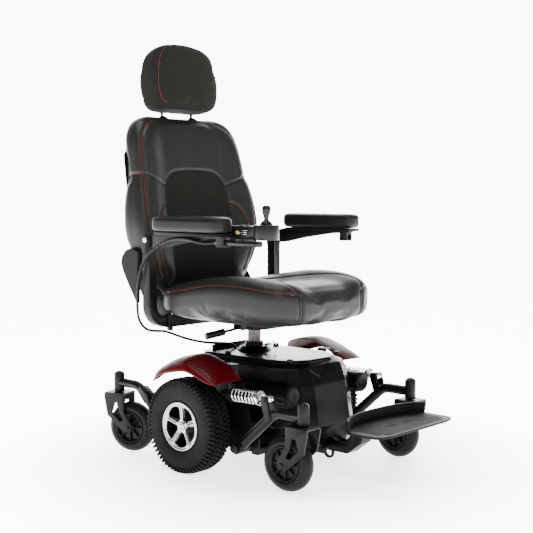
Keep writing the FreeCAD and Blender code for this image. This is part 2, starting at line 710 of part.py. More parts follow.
def back_cushion():
    """Upholstered back: narrow at the bottom, widest at the ribs, sloping shoulders."""
    y = BACK_PIVOT[0]
    rings = [back_ring(470, 150, y - 6, y + 20, 0.5), back_ring(520, 192, y - 26, y + 34, 14),
             back_ring(610, 222, y - 34, y + 36, 34), back_ring(760, 238, y - 30, y + 36, 36),
             back_ring(880, 236, y - 30, y + 34, 34), back_ring(940, 222, y - 28, y + 32, 20),
             back_ring(990, 196, y - 20, y + 30, 6), back_ring(1012, 150, y - 8, y + 24, 2)]
    cushion = Part.makeLoft(rings, True, True)
    cushion = cushion.cut(box(-75, 75, y + 19, y + 60, 883, 909))
    for hand in (-1, 1):
        x = hand * HEADREST_POST_X
        cushion = cushion.cut(box(x - 10.4, x + 10.4, y + POST_BACK - 10.4, y + 60, 883, 1020))
    return leaned(cushion)


def back_shell():
    """Moulded shell behind the upholstery with the pivot plates and headrest guides."""
    y = BACK_PIVOT[0]
    rings = []
    for z, half in ((470, 170), (600, 206), (760, 222), (900, 216), (980, 160)):
        rings.append(section_xy([(-half, y + 38), (half, y + 38), (half * 0.92, y + 50), (-half * 0.92,
            y + 50)], z))
    shell = Part.makeLoft(rings, True, True)
    hinges = []
    for hand in (-1, 1):
        low = min(hand * 215, hand * 221)
        plate = plate_yz([(y - 16, 456), (y - 16, 484), (y + 2, 520), (y + 40, 560), (y + 40, 606),
                          (y + 52, 602), (y + 63, 579), (y + 57, 551), (y + 40, 509), (y + 18, 456)],
                          low, low + 6)
        plate = plate.cut(disc_x(hand * 200, hand * 230, BACK_PIVOT[0], BACK_PIVOT[1], 8 + RUN))
        hinges.append(plate)
        hinges.append(box(min(hand * 160, hand * 221), max(hand * 160, hand * 221), y + 40, y + 50,
            500, 560))
    guides = []
    for hand in (-1, 1):
        guide = box(hand * HEADREST_POST_X - 10, hand * HEADREST_POST_X + 10, y + POST_BACK - 10,
            y + POST_BACK + 10,
                    884, 1016)
        guides.append(guide)
    bridge = box(-74, 74, y + 20, y + 42, 884, 908)
    whole = fuse([shell, bridge] + hinges + guides)
    for hand in (-1, 1):
        whole = whole.cut(pillar(hand * HEADREST_POST_X, y + POST_BACK, 870, 1020, 5 + RUN))
    return leaned(whole)


def recline_lever():
    """Recline release at the right hinge of the back."""
    y, z = BACK_PIVOT
    hub = disc_x(-236, -224, y + 20, z + 88, 12)
    blade = plate_yz([(y + 12, z + 92), (y + 24, z + 98), (y - 30, z + 120), (y - 44, z + 108)], -234, -228)
    return leaned(fuse([hub, blade]))


def headrest_cushion():
    """Deep D-shaped headrest, wider low down."""
    y = BACK_PIVOT[0]
    rings = []
    for z, half, front, rear in ((1044, 104, y - 50, y + 28), (1060, 124, y - 60, y + 34), (1104, 132,
        y - 64, y + 38),
                                 (1150, 118, y - 62, y + 36), (1194, 86, y - 52, y + 30), (1222, 56,
                                     y - 36, y + 24),
                                 (1236, 36, y - 22, y + 16)):
        corner = min(24, 0.35 * (rear - front))
        points = [(0, front), (half * 0.7, front), (half, front + corner), (half, rear - corner),
                  (half * 0.7, rear), (0, rear)]
        rings.append(section_xy(mirrored(points), z))
    cushion = Part.makeLoft(rings, True, True)
    for hand in (-1, 1):
        x = hand * HEADREST_POST_X
        cushion = cushion.cut(box(x - 5.2, x + 5.2, y + POST_BACK - 5.2, y + POST_BACK + 5.2, 1030, 1101))
    return leaned(cushion)


def headrest_posts():
    y = BACK_PIVOT[0]
    return [leaned(pillar(hand * HEADREST_POST_X, y + POST_BACK, 912, 1100, 5)) for hand in (-1, 1)]


# ---------------------------------------------------------------- controller on the right arm
STICK_X = -226.0
STICK_Y = -236.0
STICK_Z = 690.0
BAR_R = 8.0              # support tube of the controller, held in the arm's clamp
BAR_Z = 641.0


def controller_housing():
    """Slim hand controller: round head with the joystick, narrow neck behind it."""
    head = Part.makeCylinder(34, 40, V(STICK_X, STICK_Y, 650), V(0, 0, 1))
    neck = box(STICK_X - 19, STICK_X + 19, STICK_Y, -80, 652, 686)
    shell = fuse([head, neck])
    shell = eased(shell, 6, lambda e: e.BoundBox.ZMin > 685 and e.BoundBox.ZLength < 5)
    bar = rod((-ARM_POST_X, -254, BAR_Z), (-ARM_POST_X, -92, BAR_Z), BAR_R)
    link = box(-ARM_POST_X - 6, STICK_X, -196, -172, BAR_Z - 6, 653)
    case = fuse([shell, bar, link])
    well = Part.makeSphere(19, V(STICK_X, STICK_Y, STICK_Z - 4))
    case = case.cut(well)
    case = case.cut(pillar(STICK_X, -170, 680, 690, 6.4)).cut(pillar(STICK_X, -148, 680, 690, 6.4))
    return case.cut(pillar(STICK_X, -100, 640, 664, 6.3))


def joystick_gimbal():
    """Cross of the joystick: turns about X in the housing and carries the stick about Y."""
    ring = disc_x(STICK_X - 5, STICK_X + 5, STICK_Y, STICK_Z - 4, 3)
    return ring


def joystick_stick():
    """Stick with its rubber skirt and knob."""
    centre = V(STICK_X, STICK_Y, STICK_Z - 4)
    skirt = Part.makeSphere(17.5, centre, V(0, 0, 1), 8, 90, 360)
    skirt = skirt.cut(Part.makeSphere(9, centre))
    stick = pillar(STICK_X, STICK_Y, STICK_Z + 8, 724, 4)
    knob = Part.makeSphere(11, V(STICK_X, STICK_Y, 731))
    return fuse([skirt, stick, knob])


def button(y):
    return pillar(STICK_X, y, 682, 688.5, 6)


# ---------------------------------------------------------------- cable
ARM_CABLE = [(-268.2, -90, 641), (-273, -71, 638), (-282, -48, 639), (-289, -22, 645), (-291, 8, 649),
             (-291, 42, 648), (-291, 76, 641), (-291, 104, 630)]
LOOP_CABLE = [(-291, 105.4, 629.4), (-292, 130, 618), (-292, 155, 600), (-291, 180, 574), (-290, 198, 538),
              (-289, 206, 496), (-288, 208, 452), (-284, 210, 414), (-264, 212, 386), (-236, 216, 372),
              (-204, 221, 367), (-174, 222, 364)]
DROP_CABLE = [(-173.2, 222, 363.9), (-155, 215, 358), (-138, 195, 348), (-124, 173, 340), (-108, 149, 334),
              (-90, 125, 330), (-68, 103, 328), (-44, 88, 327), (-24, 79, 321), (-14, 75, 308), (-13,
                  74, 294)]


os.makedirs("parts", exist_ok=True)
SIDES = (("right", -1), ("left", 1))

for hand_name, side in SIDES:
    write("drive_tyre_" + hand_name, drive_tyre(side))
    write("drive_rim_" + hand_name, drive_rim(side))
    write("front_arm_" + hand_name, front_arm(side))
    write("rear_arm_" + hand_name, rear_arm(side))
    write("shock_body_" + hand_name, shock_body(side))
    write("shock_rod_" + hand_name, shock_rod(side))
    write("shock_spring_" + hand_name, shock_spring(side))
    write("armrest_bar_" + hand_name, armrest_bar(side))
    write("armrest_pad_" + hand_name, armrest_pad(side))
    for end_name, kingpin_y in (("front", KINGPIN_FRONT_Y), ("rear", KINGPIN_REAR_Y)):
        place = end_name + "_" + hand_name
        write("caster_fork_" + place, caster_fork(side, kingpin_y, SWIVEL[place]))
        write("caster_tyre_" + place, caster_tyre(side, kingpin_y, SWIVEL[place]))
        write("caster_hub_" + place, caster_hub(side, kingpin_y, SWIVEL[place]))

write("main_frame", main_frame())
write("belly_pan", belly_pan())
write("top_cover", top_cover())
write("fenders", [fender(-1), fender(1)])
write("batteries", [battery(-1), battery(1)])
write("drive_motors", [drive_motor(-1), drive_motor(1)])
write("power_module", power_module())
write("lid_knobs", lid_knobs())
write("pivot_bolts", pivot_bolts())
write("footplate_bracket", footplate_bracket())
write("footplate", footplate())
write("seat_post", seat_post())
write("seat_frame", seat_frame())
write("seat_cushion", seat_cushion())
write("swivel_lever", swivel_lever())
write("armrest_posts", [armrest_post(-1), armrest_post(1)])
write("back_shell", back_shell())
write("back_cushion", back_cushion())
write("recline_lever", recline_lever())
write("headrest_cushion", headrest_cushion())
write("headrest_posts", headrest_posts())
write("controller_housing", controller_housing())
write("joystick_gimbal", joystick_gimbal())
write("joystick_stick", joystick_stick())
write("power_button", button(-170))
write("horn_button", button(-148))
write("cable_arm", cable("cable_arm", ARM_CABLE, SLEEVE_R))
write("cable_loop", cable("cable_loop", LOOP_CABLE, CABLE_R))
write("cable_drop", cable("cable_drop", DROP_CABLE, CABLE_R))
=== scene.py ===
import bpy
import bmesh
import math
import numpy as np
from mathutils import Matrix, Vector
from mathutils.bvhtree import BVHTree


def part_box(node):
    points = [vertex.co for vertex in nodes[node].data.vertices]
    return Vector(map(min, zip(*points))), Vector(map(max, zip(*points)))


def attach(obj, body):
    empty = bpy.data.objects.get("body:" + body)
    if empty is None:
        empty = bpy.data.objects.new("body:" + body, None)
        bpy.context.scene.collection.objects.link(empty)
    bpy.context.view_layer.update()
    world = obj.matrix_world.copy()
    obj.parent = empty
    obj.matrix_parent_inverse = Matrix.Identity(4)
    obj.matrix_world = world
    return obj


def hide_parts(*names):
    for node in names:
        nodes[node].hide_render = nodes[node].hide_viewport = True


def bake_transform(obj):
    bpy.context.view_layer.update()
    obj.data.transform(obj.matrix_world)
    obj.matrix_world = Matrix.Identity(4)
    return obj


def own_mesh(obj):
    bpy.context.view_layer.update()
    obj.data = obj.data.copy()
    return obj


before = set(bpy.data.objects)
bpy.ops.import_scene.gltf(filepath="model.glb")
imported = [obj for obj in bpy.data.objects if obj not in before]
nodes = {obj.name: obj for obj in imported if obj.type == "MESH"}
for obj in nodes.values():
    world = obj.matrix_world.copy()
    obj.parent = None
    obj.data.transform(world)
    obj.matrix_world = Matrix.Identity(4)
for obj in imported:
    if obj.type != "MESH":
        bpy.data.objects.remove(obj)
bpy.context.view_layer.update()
scene = bpy.context.scene

# The drive axle is where the base is measured from: front is -Y, the user's right is -X.
axle_y = 0.5 * (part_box("drive_tyre_left")[0].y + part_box("drive_tyre_left")[1].y)


def at(x, y, z):
    """A place in millimetres about the point on the floor under the drive axle, in metres in the frame."""
    return np.array([x / 1000.0, y / 1000.0 + axle_y, z / 1000.0])


# ---------------------------------------------------------------------------
# Camera: standing off the right front corner of the chair at seat-back height,
# level but for a few degrees.
camera_data = bpy.data.cameras.new("camera")
camera_data.lens = 71.3
camera_data.sensor_width = 36.0
camera_data.clip_end = 50.0
camera = bpy.data.objects.new("camera", camera_data)
camera.location = at(-2291.5, -2091.9, 775.3)
camera.rotation_euler = (math.radians(90.0 - 4.01), 0.0, math.radians(-48.07))
scene.collection.objects.link(camera)
scene.camera = camera


# ---------------------------------------------------------------------------
# Cables: a thick sleeve under the right arm, the bare cable down the arm's post
# to the seat, and the loop that hangs from the seat to a grommet in the lid.
# All are held along their whole route, so their length is that of the route.
def new_material(name, colour, roughness=0.5, metallic=0.0, specular=0.5, coat=0.0, coat_roughness=0.1,
                 sheen=0.0):
    """Principled material; returns it with its nodes, links and shader so a finish can be wired in."""
    material = bpy.data.materials.new(name)
    material.use_nodes = True
    tree = material.node_tree
    shader = tree.nodes["Principled BSDF"]
    shader.inputs["Base Color"].default_value = (*colour, 1.0)
    shader.inputs["Roughness"].default_value = roughness
    shader.inputs["Metallic"].default_value = metallic
    shader.inputs["Specular IOR Level"].default_value = specular
    shader.inputs["Coat Weight"].default_value = coat
    shader.inputs["Coat Roughness"].default_value = coat_roughness
    shader.inputs["Sheen Weight"].default_value = sheen
    return material, tree, shader


def noise_on(tree, scale, detail=4.0, roughness=0.55, kind="ShaderNodeTexNoise"):
    """Noise or Voronoi pattern on Object coordinates; returns the texture node."""
    coordinates = tree.nodes.new("ShaderNodeTexCoord")
    texture = tree.nodes.new(kind)
    texture.inputs["Scale"].default_value = scale
    if kind == "ShaderNodeTexNoise":
        texture.inputs["Detail"].default_value = detail
        texture.inputs["Roughness"].default_value = roughness
    tree.links.new(coordinates.outputs["Object"], texture.inputs["Vector"])
    return texture


def ramp(tree, value, low_at, low, high_at, high):
    """Map a value to a colour or grey between two stops."""
    node = tree.nodes.new("ShaderNodeValToRGB")
    node.color_ramp.elements[0].position = low_at
    node.color_ramp.elements[1].position = high_at
    node.color_ramp.elements[0].color = (*low, 1.0) if hasattr(low, "__len__") else (low, low, low, 1.0)
    node.color_ramp.elements[1].color = (*high, 1.0) if hasattr(high, "__len__") else (high, high, high, 1.0)
    tree.links.new(value, node.inputs["Fac"])
    return node


def vary(tree, shader, socket, texture, low_at, low, high_at, high):
    """Let a pattern move a socket of the shader between two values."""
    tree.links.new(ramp(tree, texture.outputs["Fac"], low_at, low, high_at, high).outputs["Color"],
                   shader.inputs[socket])


def bump_from(tree, shader, value, distance, strength=1.0):
    """Add relief of a given depth in metres under whatever relief is already wired."""
    bump = tree.nodes.new("ShaderNodeBump")
    bump.inputs["Distance"].default_value = distance
    bump.inputs["Strength"].default_value = strength
    tree.links.new(value, bump.inputs["Height"])
    if shader.inputs["Normal"].links:
        tree.links.new(shader.inputs["Normal"].links[0].from_socket, bump.inputs["Normal"])
    tree.links.new(bump.outputs["Normal"], shader.inputs["Normal"])
    return bump


def mesh_object(name, points, faces, material, smooth=True):
    """A mesh piece from numpy points and a list or array of faces."""
    mesh = bpy.data.meshes.new(name)
    mesh.from_pydata(np.asarray(points, float).tolist(), [], [tuple(int(i) for i in f) for f in faces])
    mesh.polygons.foreach_set("use_smooth", [smooth] * len(mesh.polygons))
    mesh.update()
    obj = bpy.data.objects.new(name, mesh)
    if material is not None:
        mesh.materials.append(material)
    scene.collection.objects.link(obj)
    return obj


def grid_faces(rows, columns, wrap_rows=False, wrap_columns=False, start=0):
    """Quads of a grid of points stored row by row, joined end to end where it wraps."""
    i = np.arange(rows if wrap_rows else rows - 1)
    j = np.arange(columns if wrap_columns else columns - 1)
    i, j = np.meshgrid(i, j, indexing="ij")
    i2, j2 = (i + 1) % rows, (j + 1) % columns
    quads = np.stack([i * columns + j, i * columns + j2, i2 * columns + j2, i2 * columns + j], axis=-1)
    return quads.reshape(-1, 4) + start


def grid_object(name, points, material, wrap_rows=False, wrap_columns=False, cap=False):
    """Surface through a rows x columns x 3 array of points; cap closes the first and last row."""
    rows, columns = points.shape[:2]
    faces = [tuple(f) for f in grid_faces(rows, columns, wrap_rows, wrap_columns)]
    if cap:
        faces.append(tuple(range(columns - 1, -1, -1)))
        faces.append(tuple(range((rows - 1) * columns, rows * columns)))
    return mesh_object(name, points.reshape(-1, 3), faces, material)


def outward(obj):
    """Point every face outwards on a closed piece."""
    work = bmesh.new()
    work.from_mesh(obj.data)
    bmesh.ops.remove_doubles(work, verts=work.verts, dist=1e-6)
    bmesh.ops.recalc_face_normals(work, faces=work.faces)
    work.to_mesh(obj.data)
    work.free()
    return obj


cable_jacket, tree, shader = new_material("cable_jacket", (0.0035, 0.0035, 0.0035), 0.42, specular=0.10)
texture = noise_on(tree, 160.0)
vary(tree, shader, "Roughness", texture, 0.3, 0.36, 0.7, 0.52)
bump_from(tree, shader, texture.outputs["Fac"], 0.0003, 0.4)

sleeve_route = [(-268.2, -90, 641), (-273, -71, 638), (-282, -48, 639), (-289, -22, 645), (-291, 8, 649),
                (-291, 42, 648), (-291, 76, 641), (-291, 104, 630)]
post_route = [(-291, 105.4, 629.4), (-292, 130, 618), (-292, 155, 600), (-291, 180, 574), (-290, 198, 538),
              (-289, 206, 496), (-288, 208, 452), (-284, 210, 414), (-264, 212, 386), (-236, 216, 372),
              (-204, 221, 367), (-174, 222, 364)]
hanging_route = [(-173.2, 222, 363.9), (-155, 215, 358), (-138, 195, 348), (-124, 173, 340), (-108, 149, 334),
                 (-90, 125, 330), (-68, 103, 328), (-44, 88, 327), (-24, 79, 321), (-14, 75, 308),
                 (-13, 74, 294)]


def spline_curve(name, route, radius):
    """Curve whose one NURBS spline has the route's points as control points."""
    curve = bpy.data.curves.new(name, "CURVE")
    curve.dimensions = "3D"
    curve.resolution_u = 12
    curve.bevel_depth = radius
    curve.bevel_resolution = 5
    curve.use_fill_caps = True
    spline = curve.splines.new("NURBS")
    spline.points.add(len(route) - 1)
    for point, place in zip(spline.points, route):
        point.co = (*at(*place), 1.0)
    spline.order_u = 3
    spline.use_endpoint_u = True
    obj = bpy.data.objects.new(name, curve)
    scene.collection.objects.link(obj)
    return obj


def line_of(route):
    """Points along the NURBS spline of a route, read from a curve with no bevel."""
    probe = spline_curve("probe", route, 0.0)
    bpy.context.view_layer.update()
    mesh = bpy.data.meshes.new_from_object(probe.evaluated_get(bpy.context.evaluated_depsgraph_get()))
    line = np.zeros(len(mesh.vertices) * 3)
    mesh.vertices.foreach_get("co", line)
    bpy.data.objects.remove(probe)
    return line.reshape(-1, 3)


def tube_along(name, line, radius, material, sides=14, closed_ends=True):
    """Tube of one radius, or of a radius for each point, along a line: a ring of points at right
    angles to the line at each of its points, turned as little as possible from one to the next."""
    line = np.asarray(line, float)
    heading = np.gradient(line, axis=0)
    heading /= np.linalg.norm(heading, axis=1)[:, None]
    side = np.cross(heading[0], (0.0, 0.0, 1.0))
    if np.linalg.norm(side) < 1e-3:
        side = np.cross(heading[0], (1.0, 0.0, 0.0))
    sides_at = []
    for h in heading:
        side = side - h * np.dot(side, h)
        side = side / np.linalg.norm(side)
        sides_at.append(side)
    sides_at = np.array(sides_at)
    other = np.cross(heading, sides_at)
    turn = np.linspace(0, 2 * np.pi, sides, endpoint=False)
    size = np.broadcast_to(np.asarray(radius, float), (len(line),))[:, None, None]
    ring = np.cos(turn)[None, :, None] * sides_at[:, None, :] + np.sin(turn)[None, :, None] * other[:,
        None, :]
    return grid_object(name, line[:, None, :] + size * ring, material, wrap_columns=True, cap=closed_ends)


for name, route, radius in (("arm_cable_sleeve", sleeve_route, 0.0055), ("arm_post_cable", post_route, 0.004),
                            ("hanging_cable", hanging_route, 0.004)):
    line = line_of(route)
    cable = outward(tube_along(name, line, radius, cable_jacket))
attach(bpy.data.objects["arm_cable_sleeve"], "armrest_right")
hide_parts("cable_arm")
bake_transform(bpy.data.objects["arm_post_cable"])
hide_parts("cable_loop")
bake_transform(bpy.data.objects["hanging_cable"])
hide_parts("cable_drop")


# ---------------------------------------------------------------------------
# Studio: white floor running off to a white surround, big soft lights.
floor_white, tree, shader = new_material("floor_white", (0.93, 0.93, 0.93), 0.6)
shader.inputs["Emission Strength"].default_value = 9.0
from_middle = tree.nodes.new("ShaderNodeVectorMath")
from_middle.operation = "LENGTH"
tree.links.new(tree.nodes.new("ShaderNodeTexCoord").outputs["Object"], from_middle.inputs[0])
tree.links.new(ramp(tree, from_middle.outputs["Value"], 0.35, 0.30, 0.9, 1.0).outputs["Color"],
               shader.inputs["Emission Color"])
floor = mesh_object("floor", [(-30, -30, 0), (30, -30, 0), (30, 30, 0), (-30, 30, 0)], [(0, 1, 2, 3)],
                    floor_white,
                    False)
world = bpy.data.worlds.new("studio")
world.use_nodes = True
tree = world.node_tree
direction = tree.nodes.new("ShaderNodeTexCoord")
facing = tree.nodes.new("ShaderNodeVectorMath")
facing.operation = "DOT_PRODUCT"
facing.inputs[1].default_value = (0.744, 0.668, 0.0)
tree.links.new(direction.outputs["Generated"], facing.inputs[0])
glow = ramp(tree, facing.outputs["Value"], 0.60, 0.025, 0.84, 1.0)
tree.links.new(glow.outputs["Color"], tree.nodes["Background"].inputs["Color"])
tree.nodes["Background"].inputs["Strength"].default_value = 10.0
scene.world = world


def softbox(name, place, target, size, power):
    """Square area light of a given edge aimed at a target."""
    data = bpy.data.lights.new(name, "AREA")
    data.energy = power
    data.size = size
    light = bpy.data.objects.new(name, data)
    light.location = place
    light.rotation_euler = (Vector(target) - Vector(place)).to_track_quat("-Z", "Y").to_euler()
    scene.collection.objects.link(light)


softbox("key_light", (-2.4, -2.6, 3.0), (0.0, 0.0, 0.5), 1.6, 110.0)
softbox("front_light", (1.6, -3.2, 2.0), (0.0, 0.0, 0.5), 1.2, 25.0)
softbox("top_light", (-0.2, 0.2, 3.6), (0.0, 0.0, 0.5), 2.2, 150.0)


# ---------------------------------------------------------------------------
# Drive tyres: pneumatic tyres with a knobbly tread, moulded in one with their lugs.
# The carcass is a profile turned round the axle; five rows of lugs stand on it.
tyre_rubber, tree, shader = new_material("tyre_rubber", (0.0045, 0.0043, 0.0040), 0.66, specular=0.05)
texture = noise_on(tree, 45.0)
vary(tree, shader, "Base Color", texture, 0.3, (0.0032, 0.0031, 0.0029), 0.75, (0.0064, 0.0061, 0.0056))
fine = noise_on(tree, 420.0)
bump_from(tree, shader, fine.outputs["Fac"], 0.0004, 0.5)

tyre_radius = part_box("drive_tyre_left")[1].z / 2
lug_height = 0.0072


def turned_profile(name, profile, centre, axis, material, segments=128):
    """Surface made by turning a profile of (across, radius) round an axis through centre: across runs
    along the axis, and each profile point becomes a ring."""
    profile = np.asarray(profile, float)
    axis = np.asarray(axis, float) / np.linalg.norm(axis)
    up = np.array([0.0, 0.0, 1.0]) if abs(axis[2]) < 0.9 else np.array([1.0, 0.0, 0.0])
    first = np.cross(axis, up)
    first /= np.linalg.norm(first)
    second = np.cross(axis, first)
    turn = np.linspace(0, 2 * np.pi, segments, endpoint=False)
    ring = np.cos(turn)[:, None] * first + np.sin(turn)[:, None] * second
    points = (np.asarray(centre)[None, None, :] + profile[None, :, 0, None] * axis
              + profile[None, :, 1, None] * ring[:, None, :])
    return grid_object(name, points, material, wrap_rows=True, wrap_columns=True)


def smooth_profile(corners, rounding, steps=5):
    """Closed outline with each corner replaced by a quadratic curve that starts and ends rounding away."""
    corners = np.asarray(corners, float)
    result = []
    for i in range(len(corners)):
        corner = corners[i]
        before = corners[i - 1] - corner
        after = corners[(i + 1) % len(corners)] - corner
        cut = min(rounding, 0.48 * np.linalg.norm(before), 0.48 * np.linalg.norm(after))
        start = corner + before / np.linalg.norm(before) * cut
        end = corner + after / np.linalg.norm(after) * cut
        for t in np.linspace(0, 1, steps):
            result.append((1 - t) ** 2 * start + 2 * t * (1 - t) * corner + t ** 2 * end)
    return np.array(result)


def lug_boxes(half_width, radius, count):
    """Points and faces of all lugs: each is a block whose top is smaller than its foot. Rows differ in
    their place across the tread, their size, their skew and their phase."""
    rows = [(-0.84, 0.0135, 0.0066, 0.25, 0.0, 0.86), (-0.43, 0.0115, 0.0072, -0.45, 0.5, 0.97),
            (0.0, 0.0100, 0.0070, 0.5, 0.0, 1.0), (0.43, 0.0115, 0.0072, -0.45, 0.5, 0.97),
            (0.84, 0.0135, 0.0066, 0.25, 0.0, 0.86)]
    corner = np.array([(-1, -1), (1, -1), (1, 1), (-1, 1)], float)
    points, faces = [], []
    pitch = 2 * np.pi / count
    for across, width, length, skew, phase, reach in rows:
        centre = (np.arange(count) + phase) * pitch
        levels = [(1.06, -0.0040), (1.0, 0.80), (0.86, 1.0)]
        base = len(points) and sum(len(p) for p in points)
        block = []
        for grow, height in levels:
            u = across * half_width + corner[:, 0] * width * 0.5 * grow
            a = centre[:, None] + (corner[:, 1] * length * 0.5 * grow
                                   + skew * corner[:, 0] * width * 0.5) / radius
            drop = 0.35 * np.maximum(np.abs(u) / half_width - 0.62, 0) ** 1.5 * 0.05
            r = radius - lug_height - drop + np.where(height > 0, height,
                                                      0) * lug_height * reach + min(height, 0)
            u = np.broadcast_to(u, a.shape)
            r = np.broadcast_to(r, a.shape)
            block.append(np.stack([u, r * np.cos(a), r * np.sin(a)], axis=-1))
        block = np.stack(block, axis=1).reshape(count, 12, 3)
        points.append(block.reshape(-1, 3))
        quads = [(0, 1, 5, 4), (1, 2, 6, 5), (2, 3, 7, 6), (3, 0, 4, 7), (4, 5, 9, 8), (5, 6, 10, 9),
                 (6, 7, 11, 10), (7, 4, 8, 11), (8, 9, 10, 11), (3, 2, 1, 0)]
        start = base + np.arange(count)[:, None, None] * 12
        faces.append((np.array(quads)[None] + start).reshape(-1, 4))
    return np.concatenate(points), np.concatenate(faces)


for hand, sign in (("right", -1), ("left", 1)):
    low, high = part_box("drive_tyre_" + hand)
    centre = np.array([(low.x + high.x) / 2, axle_y, tyre_radius])
    half = (high.x - low.x) / 2
    foot = tyre_radius - lug_height
    profile = smooth_profile([(-half * 0.78, 0.0668), (half * 0.78, 0.0668), (half * 0.94, 0.080),
                              (half, 0.098),
                              (half * 0.97, foot - 0.010), (half * 0.80, foot - 0.001), (0, foot + 0.0015),
                              (-half * 0.80, foot - 0.001), (-half * 0.97, foot - 0.010), (-half, 0.098),
                              (-half * 0.94, 0.080)], 0.008)
    rings = 0.0007 * (np.exp(-((profile[:, 1] - 0.083) / 0.0012) ** 2)
                      + np.exp(-((profile[:, 1] - 0.104) / 0.0012) ** 2))
    profile[:, 0] += np.sign(profile[:, 0]) * rings
    carcass = turned_profile("drive_tyre_carcass_" + hand, profile, centre, (1, 0, 0), tyre_rubber, 160)
    lug_points, lug_faces = lug_boxes(half, tyre_radius, 62)
    lugs = mesh_object("drive_tyre_lugs_" + hand, lug_points + centre, lug_faces, tyre_rubber, False)
    for piece in (outward(carcass), outward(lugs)):
        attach(piece, "drive_wheel_" + hand)
    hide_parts("drive_tyre_" + hand)


# ---------------------------------------------------------------------------
# Drive rims: cast alloy in silver lacquer, a polished lip round five grooved spokes,
# a deep black barrel behind them and a small cap over the axle nut.
rim_alloy, tree, shader = new_material("rim_alloy", (0.30, 0.295, 0.28), 0.30, 0.95)
texture = noise_on(tree, 300.0)
vary(tree, shader, "Roughness", texture, 0.2, 0.22, 0.8, 0.36)
bump_from(tree, shader, texture.outputs["Fac"], 0.0002, 0.3)
rim_black, tree, shader = new_material("rim_black", (0.003, 0.003, 0.003), 0.5, specular=0.15)
texture = noise_on(tree, 120.0)
bump_from(tree, shader, texture.outputs["Fac"], 0.0004, 0.4)


def add_modifier(obj, kind, **settings):
    modifier = obj.modifiers.new(kind.lower(), kind)
    for key, value in settings.items():
        setattr(modifier, key, value)
    return modifier


def spoke_half_angle(radius, inner, outer):
    """Half the angle a spoke takes at a radius: a narrow bar that flares at both ends, so that the
    windows between spokes have round ends."""
    window = math.radians(36) - (0.0046 + 0.0020 * (radius - inner) / (outer - inner)) / radius
    far = np.clip((outer - radius) / 0.009, 0, 1)
    near = np.clip((radius - inner) / 0.008, 0, 1)
    opened = window * np.sqrt(np.clip(1 - (1 - far) ** 2, 0, 1)) * np.sqrt(np.clip(1 - (1 - near) ** 2, 0, 1))
    return math.radians(36) - opened


def rim_face(name, centre, sign):
    """Spoked disc: for each of five sectors a grid of radius by angle across the spoke, dished towards
    the hub, crowned across each spoke, with a long groove sunk down its middle."""
    inner, outer = 0.0165, 0.0585
    radii = np.concatenate([np.linspace(0.011, inner, 6)[:-1],
                            inner + (outer - inner) * (1 - np.cos(np.linspace(0, np.pi, 34))) / 2,
                            np.linspace(outer, 0.0630, 5)[1:]])
    across = np.linspace(-1, 1, 21)
    blocks, faces, black = [], [], []
    for i in range(5):
        half = spoke_half_angle(np.clip(radii, inner, outer), inner, outer)
        half = np.where((radii <= inner) | (radii >= outer), math.radians(36), half)
        angle = math.radians(72 * i + 90) + half[:, None] * across[None, :]
        r = np.broadcast_to(radii[:, None], angle.shape)
        width = np.clip(half * radii, 0, 0.012)
        share = np.clip(np.abs(half[:, None] * across[None, :]) * r / width[:, None], 0, 1)
        in_groove = (r > 0.020) & (r < 0.056)
        groove = 0.0034 * np.exp(-(half[:, None] * across * r / 0.0017) ** 4)
        groove = groove * np.clip((r - 0.021) / 0.003, 0, 1) * np.clip((0.0560 - r) / 0.004, 0, 1)
        dish = 0.006 * ((r - 0.012) / 0.05) ** 2
        lift = 0.0255 + dish + 0.0016 * (1 - share ** 2) - np.where(in_groove, groove, 0)
        blocks.append(np.stack([sign * lift, r * np.cos(angle), r * np.sin(angle)], axis=-1).reshape(-1, 3))
        faces.append(grid_faces(len(radii), len(across), start=i * len(radii) * len(across)))
        black.append((groove / 0.0034).reshape(-1))
    obj = mesh_object(name, np.concatenate(blocks) + centre, np.concatenate(faces), rim_alloy)
    obj.data.materials.append(rim_black)
    sunk = np.concatenate(black)
    for polygon in obj.data.polygons:
        if min(sunk[v] for v in polygon.vertices) > 0.72:
            polygon.material_index = 1
    work = bmesh.new()
    work.from_mesh(obj.data)
    bmesh.ops.remove_doubles(work, verts=work.verts, dist=2e-5)
    bmesh.ops.recalc_face_normals(work, faces=work.faces)
    if sum(f.normal.x * f.calc_area() for f in work.faces) * sign < 0:
        bmesh.ops.reverse_faces(work, faces=work.faces)
    work.to_mesh(obj.data)
    work.free()
    add_modifier(obj, "SOLIDIFY", thickness=0.007, offset=-1.0)
    return obj


